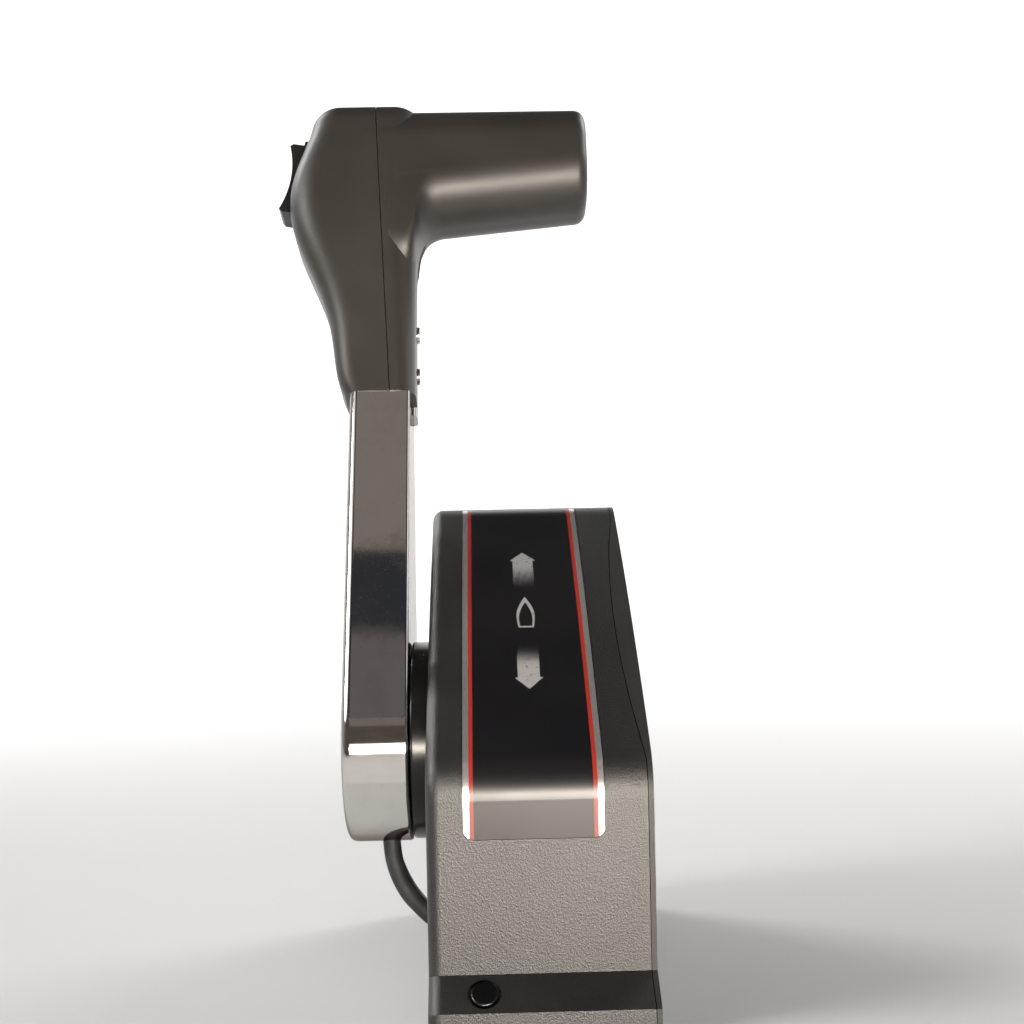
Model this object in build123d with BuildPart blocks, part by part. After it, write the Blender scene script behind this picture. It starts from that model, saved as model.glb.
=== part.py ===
from build123d import *
import os
from math import acos, cos, degrees, pi, radians, sin, sqrt, tan

# Side-mount throttle and shift control lever for an outboard boat.
# Frame: the lever turns about the X axis, X = 0 is the mounting face, +Y is forward, +Z is up.
# The housing lies at -X of the mounting face, and the lever stands outside its left wall.

os.makedirs("parts", exist_ok=True)

# ---- driving dimensions, in millimetres and degrees ----
housing_width = 69.0  # mounting face to the wall on the lever's side
left_x = -housing_width
wall = 2.8
base_z = -80.0
aft_y = -63.0
front_y = 78.0
bend_z = -0.5  # where the sloping top would meet the aft face
slope_mid = (-4.0, 43.6)  # Y, Z of a point half way up the slope
crown_z = 92.3  # where the slope would meet the front face
slope_lean = 33.0  # mean rise of the sloping top
bend_radius = 18.0
crown_radius = 20.0
front_corner_radius = 14.0
toe_y = -73.5  # foot of the aft face, below its shoulder
shoulder_z = -61.0
shoulder_drop = 8.0
side_edge_radius = 4.0
case_floor = 3.0
joint_line = 0.25  # shadow gap between the two case halves
lens_depth = 6.0  # how far the mounting half rises along the slope
lens_radius = 455.0
lens_middle = 15.0
edge_depth = 1.6  # mounting half's edge where the cover comes down over it

label_left, label_right = left_x + 11.3, -14.9
label_low_z = -20.6
label_top_y = 58.0
label_corner = 3.2
label_thickness = 0.6
label_recess = 0.8
label_gap = 0.15

hub_plate_radius = 33.3
hub_plate_thickness = 6.0
lock_ring_radius = 22.0
lock_ring_wall = 4.0
lock_ring_height = 9.5
notch_width = 7.4
notch_depth = 3.5

shaft_radius = 8.0
shaft_clearance = 0.05
bush_wall = 2.0
shaft_bore_radius = 2.8
shaft_inner_end = left_x + 56.0
shaft_flange_radius = 17.0
shaft_flange_thickness = 3.0

lever_lean = 17.0  # lever's centre line, leaning forward in neutral
lever_gap = 0.3
lever_thickness = 21.8
lever_hub_radius = 33.9
lever_top = 123.2  # along the lever, where the grip starts
lever_top_width = 30.0
lever_edge_radius = 3.0
lever_inner_edge = 1.2
hub_cavity_radius = 28.0
hub_wall = 8.0
rod_x = left_x - 13.0
rod_radius = 2.0
channel_x = left_x - 14.2
channel_across = 2.4
channel_width = 9.6
channel_depth = 12.0
lead_hole_x = left_x - 14.0
lock_pin_radius = 3.0
lock_pin_length = 9.0
lock_travel = 6.0
foot_aft, foot_front = -3.2, 2.2  # across, the trigger's inner foot
foot_height = 4.0
guide_low = 62.0
guide_height = 6.0
inner_lead_radius = 1.8
lead_run_x = left_x - 14.0
lead_run_across = 5.6

button_radius = 11.0
button_thickness = 3.4
button_travel = 4.0
button_stem_radius = 2.4
running_gap = 0.3

grip_top = lever_top + 119.6
grip_under = grip_top - 42.3  # at the bar's end
bar_fall = 6.0  # degrees by which the bar's underside falls towards the neck
grip_depth = 38.0
grip_wall = 3.0
grip_seam = 0.3
grip_end_x = left_x + 61.5
grip_crown_radius = 10.0
bar_root_x = left_x - 23.0
bar_corner = 17.0
bar_end_radius = 4.5
armpit_radius = 11.0
seam_low_x = left_x - 13.6
seam_high_x = left_x - 19.0
# height along the lever, then how far the left and right faces stand outside the housing's wall,
# the depth and the corner radius of each section of the grip's neck
neck_stations = (
    (lever_top, 30.2, 4.4, grip_depth - 7.0, 7.0),
    (lever_top + 24.8, 35.5, 4.6, grip_depth - 5.0, 9.0),
    (lever_top + 48.8, 43.0, 4.2, grip_depth - 2.0, 11.0),
    (lever_top + 71.8, 51.2, 3.0, grip_depth, 12.0),
    (lever_top + 95.8, 49.0, 1.0, grip_depth, 12.0),
    (grip_top, 44.6, 1.0, grip_depth - 2.0, 12.0),
)
spine_left, spine_right = left_x - 17.0, left_x - 4.6  # the lever's spine, up the front of the neck
spine_aft, spine_front = 2.5, grip_depth / 2 - 4.4
spine_top = lever_top + 66.8
trigger_left, trigger_right = left_x - 29.0, left_x - 19.5
trigger_low = lever_top + 42.8
trigger_height = 16.0
trigger_front = grip_depth / 2 + 8.0  # across, ahead of the lever's centre line
rocker_face_x = left_x - 49.4
rocker_along = grip_top - 27.8
rocker_face_lean = 10.0
rocker_width = 13.0
rocker_length = 30.0
switch_body_depth = 14.0
rocker_barrel = 2.6
rocker_well = 4.0
rocker_foot = 0.9  # how far the rocker stands in its well
rocker_pin_radius = 1.1
rocker_pin_drop = 0.8
rocker_lower_lobe = 6.6
rocker_upper_lobe = 5.6
rocker_dip = 3.6
grip_screw_radius = 1.6
grip_head_radius = 3.2
grip_head_height = 1.0
grip_screw_heights = (lever_top + 14.8, lever_top + 31.8)
grip_screw_bite = 12.0
grip_bulge_x = left_x - 53.0

gear_module = 2.0
drive_teeth = 14
arm_teeth = 32
gear_thickness = 7.0
gear_backlash = 0.35
gear_x = left_x + 31.0  # middle of the gears
pressure_angle = 20.0
shift_arm_length = 46.0
crank_length = 22.0
crank_thickness = 5.0
crank_x = left_x + 17.0
crank_angle = 147.0  # away from the throttle cable's outlet, so the crank stands at dead centre
arm_rest_lean = 26.0
sector_teeth = 10
button_stem_length = 30.0
cable_pin_radius = 2.5

frame_x = left_x + 50.0
frame_thickness = 3.0
post_radius = 4.0
frame_posts = ((-16.0, 16.0), (-16.0, -16.0), (58.0, 18.0), (58.0, -18.0))  # Y, Z
frame_screw_radius = 1.8
pivot_pin_radius = 4.0
band_radius = 12.0
band_width = 7.0
band_slit = 2.4
band_ear = 4.0
wheel_x = left_x + 9.5  # detent wheel's middle
wheel_radius = 16.0
wheel_thickness = 5.0
wheel_notch = 2.4
idle_notch_angle = 35.0
switch_place = (14.0, 25.5)  # Y, Z of the neutral switch
switch_length = 20.0
switch_height = 10.0
switch_width = 6.0
detent_mount = (26.0, -19.0)  # Y, Z of the detent spring's foot
detent_foot_length = 10.0
leaf_thickness = 0.8
leaf_width = 4.0

mount_hole_radius = 3.3
mount_y = (-50.0, 58.0)
mount_z = (-66.0, -8.0)
mount_boss_radius = 8.0
mount_boss_height = 7.0

cover_screw_radius = 2.0
cover_screw_length = 22.0
cover_head_radius = 3.8
cover_head_height = 1.4
cover_screw_points = ((-50.0, -37.0), (62.0, -37.0), (62.0, 44.0), (-38.0, 5.0))

lead_radius = 3.0
lead_entry = (-13.7, -59.2)  # Y, Z of the lead's gland in the left wall
lead_exit_y = -8.4
cable_outlet_radius = 8.5
cable_outlets = ((left_x + 45.0, -50.0), (left_x + 20.0, -50.0))  # X, Z in the front wall
harness_outlet = (left_x + 32.5, -24.0)
harness_radius = 7.0
lower_screw_x = left_x + 16.8
lower_screw_radius = 2.0
lower_head_radius = 4.2
lower_head_depth = 1.6
lower_head_height = 2.0
lug_radius = 4.5

shaft_bore_depth = 30.0
hub_screw_circle = 14.0
hub_screw_radius = 1.6
hub_screw_depth = 5.0
ring_groove_x = left_x + 52.5

# ---- derived places ----
mount_points = [(y, z) for y in mount_y for z in mount_z]
hub_plate_x = left_x - hub_plate_thickness
lever_right = hub_plate_x - lever_gap
lever_left = lever_right - lever_thickness
hub_floor_x = lever_left + hub_wall
gear_distance = gear_module * (drive_teeth + arm_teeth) / 2
lean = radians(lever_lean)


def lever_point(x, across, along):
    """A point in the lever's own directions: across is forward of its centre line."""
    y = across * cos(lean) + along * sin(lean)
    z = -across * sin(lean) + along * cos(lean)
    return (x, y, z)


grip_screw_points = [lever_point(0, (spine_aft + spine_front) / 2, h)[1:]
                     for h in grip_screw_heights]

# Sketches seen from aft with the lever's length upward, and seen from the side.
lever_face = Plane(origin=(0, 0, 0), x_dir=(1, 0, 0), z_dir=(0, -cos(lean), sin(lean)))
lever_side = Plane(origin=(0, 0, 0), x_dir=(0, cos(lean), -sin(lean)), z_dir=(1, 0, 0))


def lever_section(along):
    """A plane square to the lever, with X to the right and forward upward."""
    return Plane(
        origin=lever_point(0, 0, along), x_dir=(1, 0, 0), z_dir=(0, sin(lean), cos(lean))
    )


def housing_profile(inset=0.0):
    """The housing's outline seen along X, as a sketch in Y and Z."""
    with BuildSketch() as profile:
        with BuildLine():
            slope = ThreePointArc((aft_y, bend_z), slope_mid, (front_y, crown_z))
            Polyline(slope @ 1, (front_y, base_z), (toe_y, base_z),
                     (toe_y, shoulder_z - shoulder_drop), (aft_y, shoulder_z), slope @ 0)
        make_face()
        upward = profile.vertices().sort_by(Axis.Y)
        fillet(upward[-1], crown_radius)
        fillet(profile.vertices().sort_by_distance((aft_y, bend_z))[0], bend_radius)
        fillet(profile.vertices().sort_by_distance((front_y, base_z))[0], front_corner_radius)
        if inset:
            offset(amount=-inset, kind=Kind.INTERSECTION, mode=Mode.REPLACE)
    return profile.sketch


def seam_region(gap=0.0):
    """The mounting half's share of the housing: a thin edge and a shallow lens along the slope."""
    slope = radians(slope_lean)
    along_slope = Plane(origin=(0, 0, 0), x_dir=(0, cos(slope), sin(slope)),
                        z_dir=(0, -sin(slope), cos(slope)))
    with BuildPart() as region:
        with BuildSketch(along_slope):
            with Locations((lens_middle, lens_depth + gap - lens_radius)):
                Circle(lens_radius)
            Rectangle(400, lens_depth + 10, align=(Align.CENTER, Align.MIN), mode=Mode.INTERSECT)
            Rectangle(400, edge_depth + gap, align=(Align.CENTER, Align.MIN))
        extrude(amount=200, both=True)
    return region.part


def route_radii(points):
    """The largest fillet radius at each inner point of a route that its two runs leave room for."""
    radii = []
    for before, here, after in zip(points, points[1:], points[2:]):
        come, go = Vector(*here) - Vector(*before), Vector(*after) - Vector(*here)
        turn = radians(come.get_angle(go))
        radii.append(0.45 * min(come.length, go.length) / tan(turn / 2))
    return radii


def involute_angle(radius, base_radius):
    """The involute's polar angle at a radius outside its base circle."""
    if radius <= base_radius:
        return 0.0
    pressure = acos(base_radius / radius)
    return tan(pressure) - pressure


def tooth_outline(teeth, addendum):
    """One gear tooth pointing along +X, as a closed line of points about the gear's centre."""
    pitch = gear_module * teeth / 2
    base = pitch * cos(radians(pressure_angle))
    root = pitch - 1.25 * gear_module
    tip = pitch + addendum
    half = pi / (2 * teeth) - gear_backlash / (4 * pitch) + involute_angle(pitch, base)
    heights = [root - 0.6, max(root, base)] + [base + (tip - base) * k / 4 for k in (1, 2, 3, 4)]
    flank = [(r, half - involute_angle(r, base)) for r in heights if r >= base or r < root]
    upper = [(r * cos(a), r * sin(a)) for r, a in flank]
    lower = [(x, -y) for x, y in reversed(upper)]
    return upper + lower


# ---- housing ----
outline = housing_profile()
cavity = housing_profile(wall)
bush_radius = shaft_radius + bush_wall
shoulder_middle = ((aft_y + toe_y) / 2, shoulder_z - shoulder_drop / 2)
shoulder_run = sqrt((aft_y - toe_y) ** 2 + shoulder_drop**2)
shoulder_normal = (-shoulder_drop / shoulder_run, (aft_y - toe_y) / shoulder_run)
lug_reach = wall + lug_radius + running_gap
lug_y = shoulder_middle[0] - shoulder_normal[0] * lug_reach
lug_z = shoulder_middle[1] - shoulder_normal[1] * lug_reach
shoulder_plane = Plane(origin=(lower_screw_x, *shoulder_middle), x_dir=(1, 0, 0),
                       z_dir=(0, *shoulder_normal))
gland_radius = lead_radius + 2.2


def label_prism(grow=0.0):
    """The label's outline from aft, run through the housing as far forward as the label goes."""
    with BuildPart() as prism:
        with BuildSketch(Plane.XZ.offset(-label_top_y - grow)):
            with Locations(((label_left + label_right) / 2, label_low_z - grow)):
                RectangleRounded(label_right - label_left + 2 * grow, 250, label_corner + grow,
                                 align=(Align.CENTER, Align.MIN))
        extrude(amount=250)
    return prism.part


with BuildPart() as label_panel:
    with BuildSketch(Plane.YZ.offset(left_x)):
        add(housing_profile(label_recess - label_thickness))
        add(housing_profile(label_recess), mode=Mode.SUBTRACT)
    extrude(amount=housing_width)
    add(label_prism(), mode=Mode.INTERSECT)
label_panel.part.label = "label_panel"
export_step(label_panel.part, "parts/label_panel.step")

with BuildPart() as label_pocket:
    with BuildSketch(Plane.YZ.offset(left_x)):
        add(outline)
        add(housing_profile(label_recess), mode=Mode.SUBTRACT)
    extrude(amount=housing_width)
    add(label_prism(label_gap), mode=Mode.INTERSECT)

with BuildPart() as housing_cover:
    with BuildSketch(Plane.YZ.offset(left_x)):
        add(outline)
    extrude(amount=housing_width)
    fillet(housing_cover.edges().filter_by_position(Axis.X, left_x, left_x), side_edge_radius)
    with BuildSketch(Plane.YZ.offset(left_x + wall)):
        add(cavity)
    extrude(amount=housing_width, mode=Mode.SUBTRACT)
    # bosses for the screws that hold the two halves together
    with BuildSketch(Plane.YZ.offset(left_x + wall)):
        with Locations(*cover_screw_points):
            Circle(cover_screw_radius + 3.0)
    extrude(amount=housing_width - wall - case_floor)
    with BuildSketch(Plane.YZ.offset(-case_floor)):
        with Locations(*cover_screw_points):
            Circle(cover_screw_radius)
    extrude(amount=-cover_screw_length, mode=Mode.SUBTRACT)
    # posts that carry the detent spring and the neutral switch
    with BuildSketch(Plane.YZ.offset(left_x + wall)):
        with Locations((detent_mount[0], detent_mount[1] - leaf_thickness / 2 - 3)):
            Rectangle(detent_foot_length, 6)
        with Locations(switch_place):
            Rectangle(switch_length, switch_height)
    extrude(amount=wheel_x - wheel_thickness / 2 - left_x - wall)
    with BuildSketch(Plane.YZ.offset(left_x + wall)):
        with Locations((detent_mount[0], detent_mount[1] - leaf_thickness / 2 - 3)):
            Rectangle(detent_foot_length, 6)
    extrude(amount=wheel_x + wheel_thickness / 2 - left_x - wall)
    add(seam_region(joint_line), mode=Mode.SUBTRACT)
    add(label_pocket.part, mode=Mode.SUBTRACT)
    # shaft opening and the lead's gland in the left wall
    with BuildSketch(Plane.YZ.offset(left_x)):
        Circle(bush_radius)
        with Locations(lead_entry):
            Circle(gland_radius)
    extrude(amount=wall, mode=Mode.SUBTRACT)
    # cable outlets in the front wall
    with BuildSketch(Plane.XZ.offset(-front_y)):
        with Locations(*cable_outlets):
            Circle(cable_outlet_radius)
        with Locations(harness_outlet):
            Circle(harness_radius)
    extrude(amount=wall, mode=Mode.SUBTRACT)
    # sunk seat and hole of the lower screw, in the shoulder
    with BuildSketch(shoulder_plane.offset(6)):
        Circle(lower_head_radius + 0.8)
    extrude(amount=-6 - lower_head_depth, mode=Mode.SUBTRACT)
    with BuildSketch(shoulder_plane.offset(6)):
        Circle(lower_screw_radius + 0.2)
    extrude(amount=-12, mode=Mode.SUBTRACT)
housing_cover.part.label = "housing_cover"
export_step(housing_cover.part, "parts/housing_cover.step")

with BuildPart() as mounting_case:
    with BuildSketch(Plane.YZ):
        add(outline)
    extrude(amount=-lens_depth - 1)
    with BuildSketch(Plane.YZ):
        add(cavity)
    extrude(amount=-lens_depth - 1, mode=Mode.SUBTRACT)
    add(seam_region(), mode=Mode.INTERSECT)
    with BuildSketch(Plane.YZ):
        add(cavity)
    extrude(amount=-edge_depth)
    with BuildSketch(Plane.YZ):
        add(housing_profile(wall + running_gap))
    extrude(amount=-case_floor)
    # mounting bosses, the posts of the inner frame and the lug of the lower screw
    with BuildSketch(Plane.YZ.offset(-case_floor)):
        with Locations(*mount_points):
            Circle(mount_boss_radius)
    extrude(amount=-mount_boss_height)
    with BuildSketch(Plane.YZ.offset(-case_floor)):
        with Locations(*frame_posts):
            Circle(post_radius)
    extrude(amount=frame_x + case_floor)
    with BuildSketch(Plane.YZ.offset(-case_floor)):
        with Locations((lug_y, lug_z)):
            Circle(lug_radius)
    extrude(amount=lower_screw_x - lug_radius - 1.0 + case_floor)
    with BuildSketch(Plane.YZ):
        with Locations(*mount_points):
            Circle(mount_hole_radius)
    extrude(amount=-case_floor - mount_boss_height, mode=Mode.SUBTRACT)
    with BuildSketch(Plane.YZ):
        with Locations(*cover_screw_points):
            Circle(cover_screw_radius + 0.25)
    extrude(amount=-case_floor, mode=Mode.SUBTRACT)
    with BuildSketch(Plane.YZ):
        with Locations(*cover_screw_points):
            Circle(cover_head_radius + 0.3)
    extrude(amount=-cover_head_height, mode=Mode.SUBTRACT)
    with BuildSketch(shoulder_plane):
        Circle(lower_screw_radius)
    extrude(amount=-wall - running_gap - 2 * lug_radius - 1.0, mode=Mode.SUBTRACT)
mounting_case.part.label = "mounting_case"
export_step(mounting_case.part, "parts/mounting_case.step")

with BuildPart() as cover_screws:
    with BuildSketch(Plane.YZ):
        with Locations(*cover_screw_points):
            Circle(cover_head_radius)
    extrude(amount=-cover_head_height)
    with BuildSketch(Plane.YZ.offset(-cover_head_height)):
        with Locations(*cover_screw_points):
            Circle(cover_screw_radius)
    extrude(amount=-cover_screw_length)
cover_screws.part.label = "cover_screws"
export_step(cover_screws.part, "parts/cover_screws.step")

with BuildPart() as lower_screw:
    with BuildSketch(shoulder_plane.offset(-lower_head_depth)):
        Circle(lower_head_radius)
    extrude(amount=lower_head_height)
    fillet(lower_screw.edges().filter_by(GeomType.CIRCLE).sort_by_distance(
        shoulder_plane.origin)[0], 0.8)
    with BuildSketch(shoulder_plane.offset(-lower_head_depth)):
        Circle(lower_screw_radius)
    extrude(amount=-wall - 2 * lug_radius + 2.0)
lower_screw.part.label = "lower_screw"
export_step(lower_screw.part, "parts/lower_screw.step")

with BuildPart() as hub_plate:
    with BuildSketch(Plane.YZ.offset(left_x)):
        Circle(hub_plate_radius)
        Circle(bush_radius, mode=Mode.SUBTRACT)
    extrude(amount=-hub_plate_thickness)
    fillet(hub_plate.edges().filter_by(GeomType.CIRCLE).filter_by_position(
        Axis.X, hub_plate_x, hub_plate_x).sort_by(SortBy.RADIUS)[-1], 1.0)
    with BuildSketch(Plane.YZ.offset(hub_plate_x)):
        Circle(lock_ring_radius)
        Circle(lock_ring_radius - lock_ring_wall, mode=Mode.SUBTRACT)
    extrude(amount=-lock_ring_height)
    # the neutral notch in the ring's rim, under the lock pin
    with BuildSketch(lever_side.offset(hub_plate_x)):
        with Locations((0, lock_ring_radius)):
            Rectangle(notch_width, 2 * notch_depth)
    extrude(amount=-lock_ring_height, mode=Mode.SUBTRACT)
hub_plate.part.label = "hub_plate"
export_step(hub_plate.part, "parts/hub_plate.step")

with BuildPart() as shaft_bush:
    with BuildSketch(Plane.YZ.offset(hub_plate_x)):
        Circle(bush_radius)
    extrude(amount=hub_plate_thickness + wall)
    with BuildSketch(Plane.YZ.offset(left_x + wall)):
        Circle(bush_radius + 3)
    extrude(amount=1.6)
    with BuildSketch(Plane.YZ.offset(hub_plate_x)):
        Circle(shaft_radius + shaft_clearance)
    extrude(amount=20, mode=Mode.SUBTRACT)
shaft_bush.part.label = "shaft_bush"
export_step(shaft_bush.part, "parts/shaft_bush.step")

# ---- inner frame and its fixed pieces ----
arm_pivot = (gear_distance, 0.0)
with BuildPart() as gear_frame:
    with BuildSketch(Plane.YZ.offset(frame_x)):
        with BuildSketch(mode=Mode.PRIVATE) as corners:
            Circle(15)
            with Locations(arm_pivot):
                Circle(11)
            with Locations(*frame_posts):
                Circle(post_radius + 2)
        make_hull(corners.sketch.edges())
    extrude(amount=-frame_thickness)
    with BuildSketch(Plane.YZ.offset(frame_x)):
        Circle(bush_radius + 1.5)
    extrude(amount=-frame_thickness - 2.0)
    with BuildSketch(Plane.YZ.offset(frame_x)):
        Circle(bush_radius)
        with Locations(arm_pivot):
            Circle(pivot_pin_radius)
        with Locations(*frame_posts):
            Circle(frame_screw_radius)
        with Locations((gear_distance / 2, 0)):
            SlotOverall(14, 8, rotation=90)
    extrude(amount=-frame_thickness - 3, mode=Mode.SUBTRACT)
gear_frame.part.label = "gear_frame"
export_step(gear_frame.part, "parts/gear_frame.step")

with BuildPart() as frame_bush:
    with BuildSketch(Plane.YZ.offset(frame_x)):
        Circle(bush_radius)
        Circle(shaft_radius + shaft_clearance, mode=Mode.SUBTRACT)
    extrude(amount=-frame_thickness - 2.0)
    with BuildSketch(Plane.YZ.offset(frame_x)):
        Circle(bush_radius + 2)
        Circle(shaft_radius + shaft_clearance, mode=Mode.SUBTRACT)
    extrude(amount=1.5)
frame_bush.part.label = "frame_bush"
export_step(frame_bush.part, "parts/frame_bush.step")

with BuildPart() as frame_screws:
    for place in frame_posts:
        with BuildSketch(Plane.YZ.offset(frame_x - frame_thickness)):
            with Locations(place):
                Circle(frame_screw_radius + 1.6)
        extrude(amount=-2.0)
        with BuildSketch(Plane.YZ.offset(frame_x - frame_thickness)):
            with Locations(place):
                Circle(frame_screw_radius)
        extrude(amount=frame_thickness)
frame_screws.part.label = "frame_screws"
export_step(frame_screws.part, "parts/frame_screws.step")

arm_right = gear_x + gear_thickness / 2
arm_left = gear_x - gear_thickness / 2
with BuildPart() as arm_pivot_pin:
    with BuildSketch(Plane.YZ.offset(frame_x)):
        with Locations(arm_pivot):
            Circle(pivot_pin_radius)
    extrude(amount=arm_left - 4.0 - frame_x)
    with BuildSketch(Plane.YZ.offset(frame_x - frame_thickness)):
        with Locations(arm_pivot):
            Circle(pivot_pin_radius + 3)
    extrude(amount=arm_right + running_gap - frame_x + frame_thickness)
arm_pivot_pin.part.label = "arm_pivot_pin"
export_step(arm_pivot_pin.part, "parts/arm_pivot_pin.step")


def retaining_ring(plane, place, inner, outer, thickness):
    """A flat spring ring with its mouth open toward -Y."""
    with BuildPart() as ring:
        with BuildSketch(plane):
            with Locations(place):
                Circle(outer)
                Circle(inner, mode=Mode.SUBTRACT)
                with Locations((-outer, 0)):
                    Rectangle(outer * 2, inner * 0.9, mode=Mode.SUBTRACT)
        extrude(amount=thickness)
    return ring.part


with BuildPart() as pivot_clip:
    add(retaining_ring(Plane.YZ.offset(arm_left - running_gap - 1.0), arm_pivot,
                       pivot_pin_radius, pivot_pin_radius + 3.5, 1.0))
pivot_clip.part.label = "pivot_clip"
export_step(pivot_clip.part, "parts/pivot_clip.step")

band_x = frame_x - frame_thickness - 2.0 - band_width / 2
with BuildPart() as friction_band:
    with BuildSketch(Plane.YZ.offset(frame_x - frame_thickness - 2.0)):
        Circle(band_radius)
        with Locations((0, -band_radius - 2)):
            Rectangle(2 * band_ear + band_slit, 12)
        Circle(shaft_radius + shaft_clearance, mode=Mode.SUBTRACT)
        with Locations((0, -band_radius - 4)):
            Rectangle(band_slit, 2 * band_radius, mode=Mode.SUBTRACT)
    extrude(amount=-band_width)
    with BuildSketch(Plane.XZ.offset(-band_ear - 2)):
        with Locations((band_x, -band_radius - 4)):
            Circle(1.6)
    extrude(amount=2 * band_ear + 4, mode=Mode.SUBTRACT)
friction_band.part.label = "friction_band"
export_step(friction_band.part, "parts/friction_band.step")

with BuildPart() as friction_screw:
    ear_face = band_slit / 2 + band_ear
    with BuildSketch(Plane.XZ.offset(-ear_face)):
        with Locations((band_x, -band_radius - 4)):
            Circle(1.5)
    extrude(amount=2 * ear_face + 2)
    with BuildSketch(Plane.XZ.offset(-ear_face)):
        with Locations((band_x, -band_radius - 4)):
            Circle(3.0)
    extrude(amount=-2.4)
friction_screw.part.label = "friction_screw"
export_step(friction_screw.part, "parts/friction_screw.step")

switch_face_x = wheel_x - wheel_thickness / 2
with BuildPart() as neutral_switch:
    with BuildSketch(Plane.YZ.offset(switch_face_x)):
        with Locations(switch_place):
            Rectangle(switch_length, switch_height)
            with GridLocations(switch_length - 8, 0, 2, 1):
                Circle(1.3, mode=Mode.SUBTRACT)
    extrude(amount=switch_width)
    # its sprung arm, whose nose stands over the wheel's rim
    with BuildSketch(Plane.YZ.offset(switch_face_x + 1.5)):
        with BuildLine():
            arm_foot = switch_place[1] - switch_height / 2
            right_end = switch_place[0] + switch_length / 2 - 2
            Polyline((right_end, arm_foot), (right_end - 2, arm_foot - 1.0), (6, wheel_radius + 1.6),
                     (3, wheel_radius + 0.7), (0, wheel_radius + 1.9))
            offset(amount=0.35)
        make_face()
    extrude(amount=switch_width - 3)
neutral_switch.part.label = "neutral_switch"
export_step(neutral_switch.part, "parts/neutral_switch.step")

with BuildPart() as detent_spring:
    # a leaf on its foot, whose bent nose sits in the wheel's neutral notch
    nose_z = -wheel_radius + wheel_notch * 0.4
    leaf_z = detent_mount[1]
    with BuildSketch(Plane.YZ.offset(wheel_x - leaf_width / 2)):
        with BuildLine():
            Polyline((detent_mount[0] + detent_foot_length / 2, leaf_z),
                     (detent_mount[0] - detent_foot_length / 2, leaf_z),
                     (5, -wheel_radius - 1.6), (2.2, -wheel_radius - 1.6), (0, nose_z - 1.4),
                     (-2.2, -wheel_radius - 1.6), (-5, -wheel_radius - 2.2))
            offset(amount=leaf_thickness / 2)
        make_face()
    extrude(amount=leaf_width)
detent_spring.part.label = "detent_spring"
export_step(detent_spring.part, "parts/detent_spring.step")

with BuildPart() as detent_rivet:
    with BuildSketch(Plane.XY.offset(leaf_z + leaf_thickness / 2)):
        with Locations((wheel_x, detent_mount[0])):
            Circle(1.8)
    extrude(amount=1.2)
detent_rivet.part.label = "detent_rivet"
export_step(detent_rivet.part, "parts/detent_rivet.step")

# ---- trim switch lead: the free length from the lever's hub to the gland in the housing ----
def swept_tube(points, radius):
    """A round lead along straight runs joined by the largest arcs that the runs allow."""
    radii = route_radii(points)
    print("route radii", [round(r, 1) for r in radii])
    with BuildPart() as tube:
        with BuildLine():
            path = FilletPolyline(*points, radius=radii)
        with BuildSketch(Plane(origin=path @ 0, z_dir=path % 0)):
            Circle(radius)
        sweep(path=path)
    return tube.part


trim_lead_route = [
    (lead_hole_x, lead_exit_y, -26.0),
    (lead_hole_x, lead_exit_y - 0.4, -36.0),
    (left_x - 11.2, -10.4, -45.5),
    (left_x - 5.5, -12.6, -53.5),
    (left_x + 7.3, -14.7, -64.0),
]
with BuildPart() as trim_lead:
    add(swept_tube(trim_lead_route, lead_radius))
trim_lead.part.label = "trim_lead"
export_step(trim_lead.part, "parts/trim_lead.step")

with BuildPart() as lead_grommet:
    lead_plane = Plane.YZ.offset(left_x)
    with BuildSketch(lead_plane.offset(-1.8)):
        with Locations(lead_entry):
            Circle(gland_radius + 1.8)
    extrude(amount=1.8)
    with BuildSketch(lead_plane):
        with Locations(lead_entry):
            Circle(gland_radius)
    extrude(amount=wall)
    with BuildSketch(lead_plane.offset(wall)):
        with Locations(lead_entry):
            Circle(gland_radius + 1.4)
    extrude(amount=1.5)
    add(trim_lead.part, mode=Mode.SUBTRACT)
lead_grommet.part.label = "lead_grommet"
export_step(lead_grommet.part, "parts/lead_grommet.step")


def outlet_grommet(place, radius, bore):
    """A rubber ring in a hole of the front wall, with a lip on each side."""
    with BuildPart() as ring:
        for start, depth, size in ((front_y + 2, 2, radius + 2), (front_y, wall, radius),
                                   (front_y - wall, 1.6, radius + 1.6)):
            with BuildSketch(Plane.XZ.offset(-start)):
                with Locations(place):
                    Circle(size)
            extrude(amount=depth)
        with BuildSketch(Plane.XZ.offset(-front_y - 2)):
            with Locations(place):
                Circle(bore)
        extrude(amount=wall + 3.6, mode=Mode.SUBTRACT)
    return ring.part


with BuildPart() as cable_grommets:
    for place in cable_outlets:
        add(outlet_grommet(place, cable_outlet_radius, cable_outlet_radius - 2.5))
cable_grommets.part.label = "cable_grommets"
export_step(cable_grommets.part, "parts/cable_grommets.step")

with BuildPart() as harness_grommet:
    add(outlet_grommet(harness_outlet, harness_radius, harness_radius - 2.0))
harness_grommet.part.label = "harness_grommet"
export_step(harness_grommet.part, "parts/harness_grommet.step")

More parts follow.
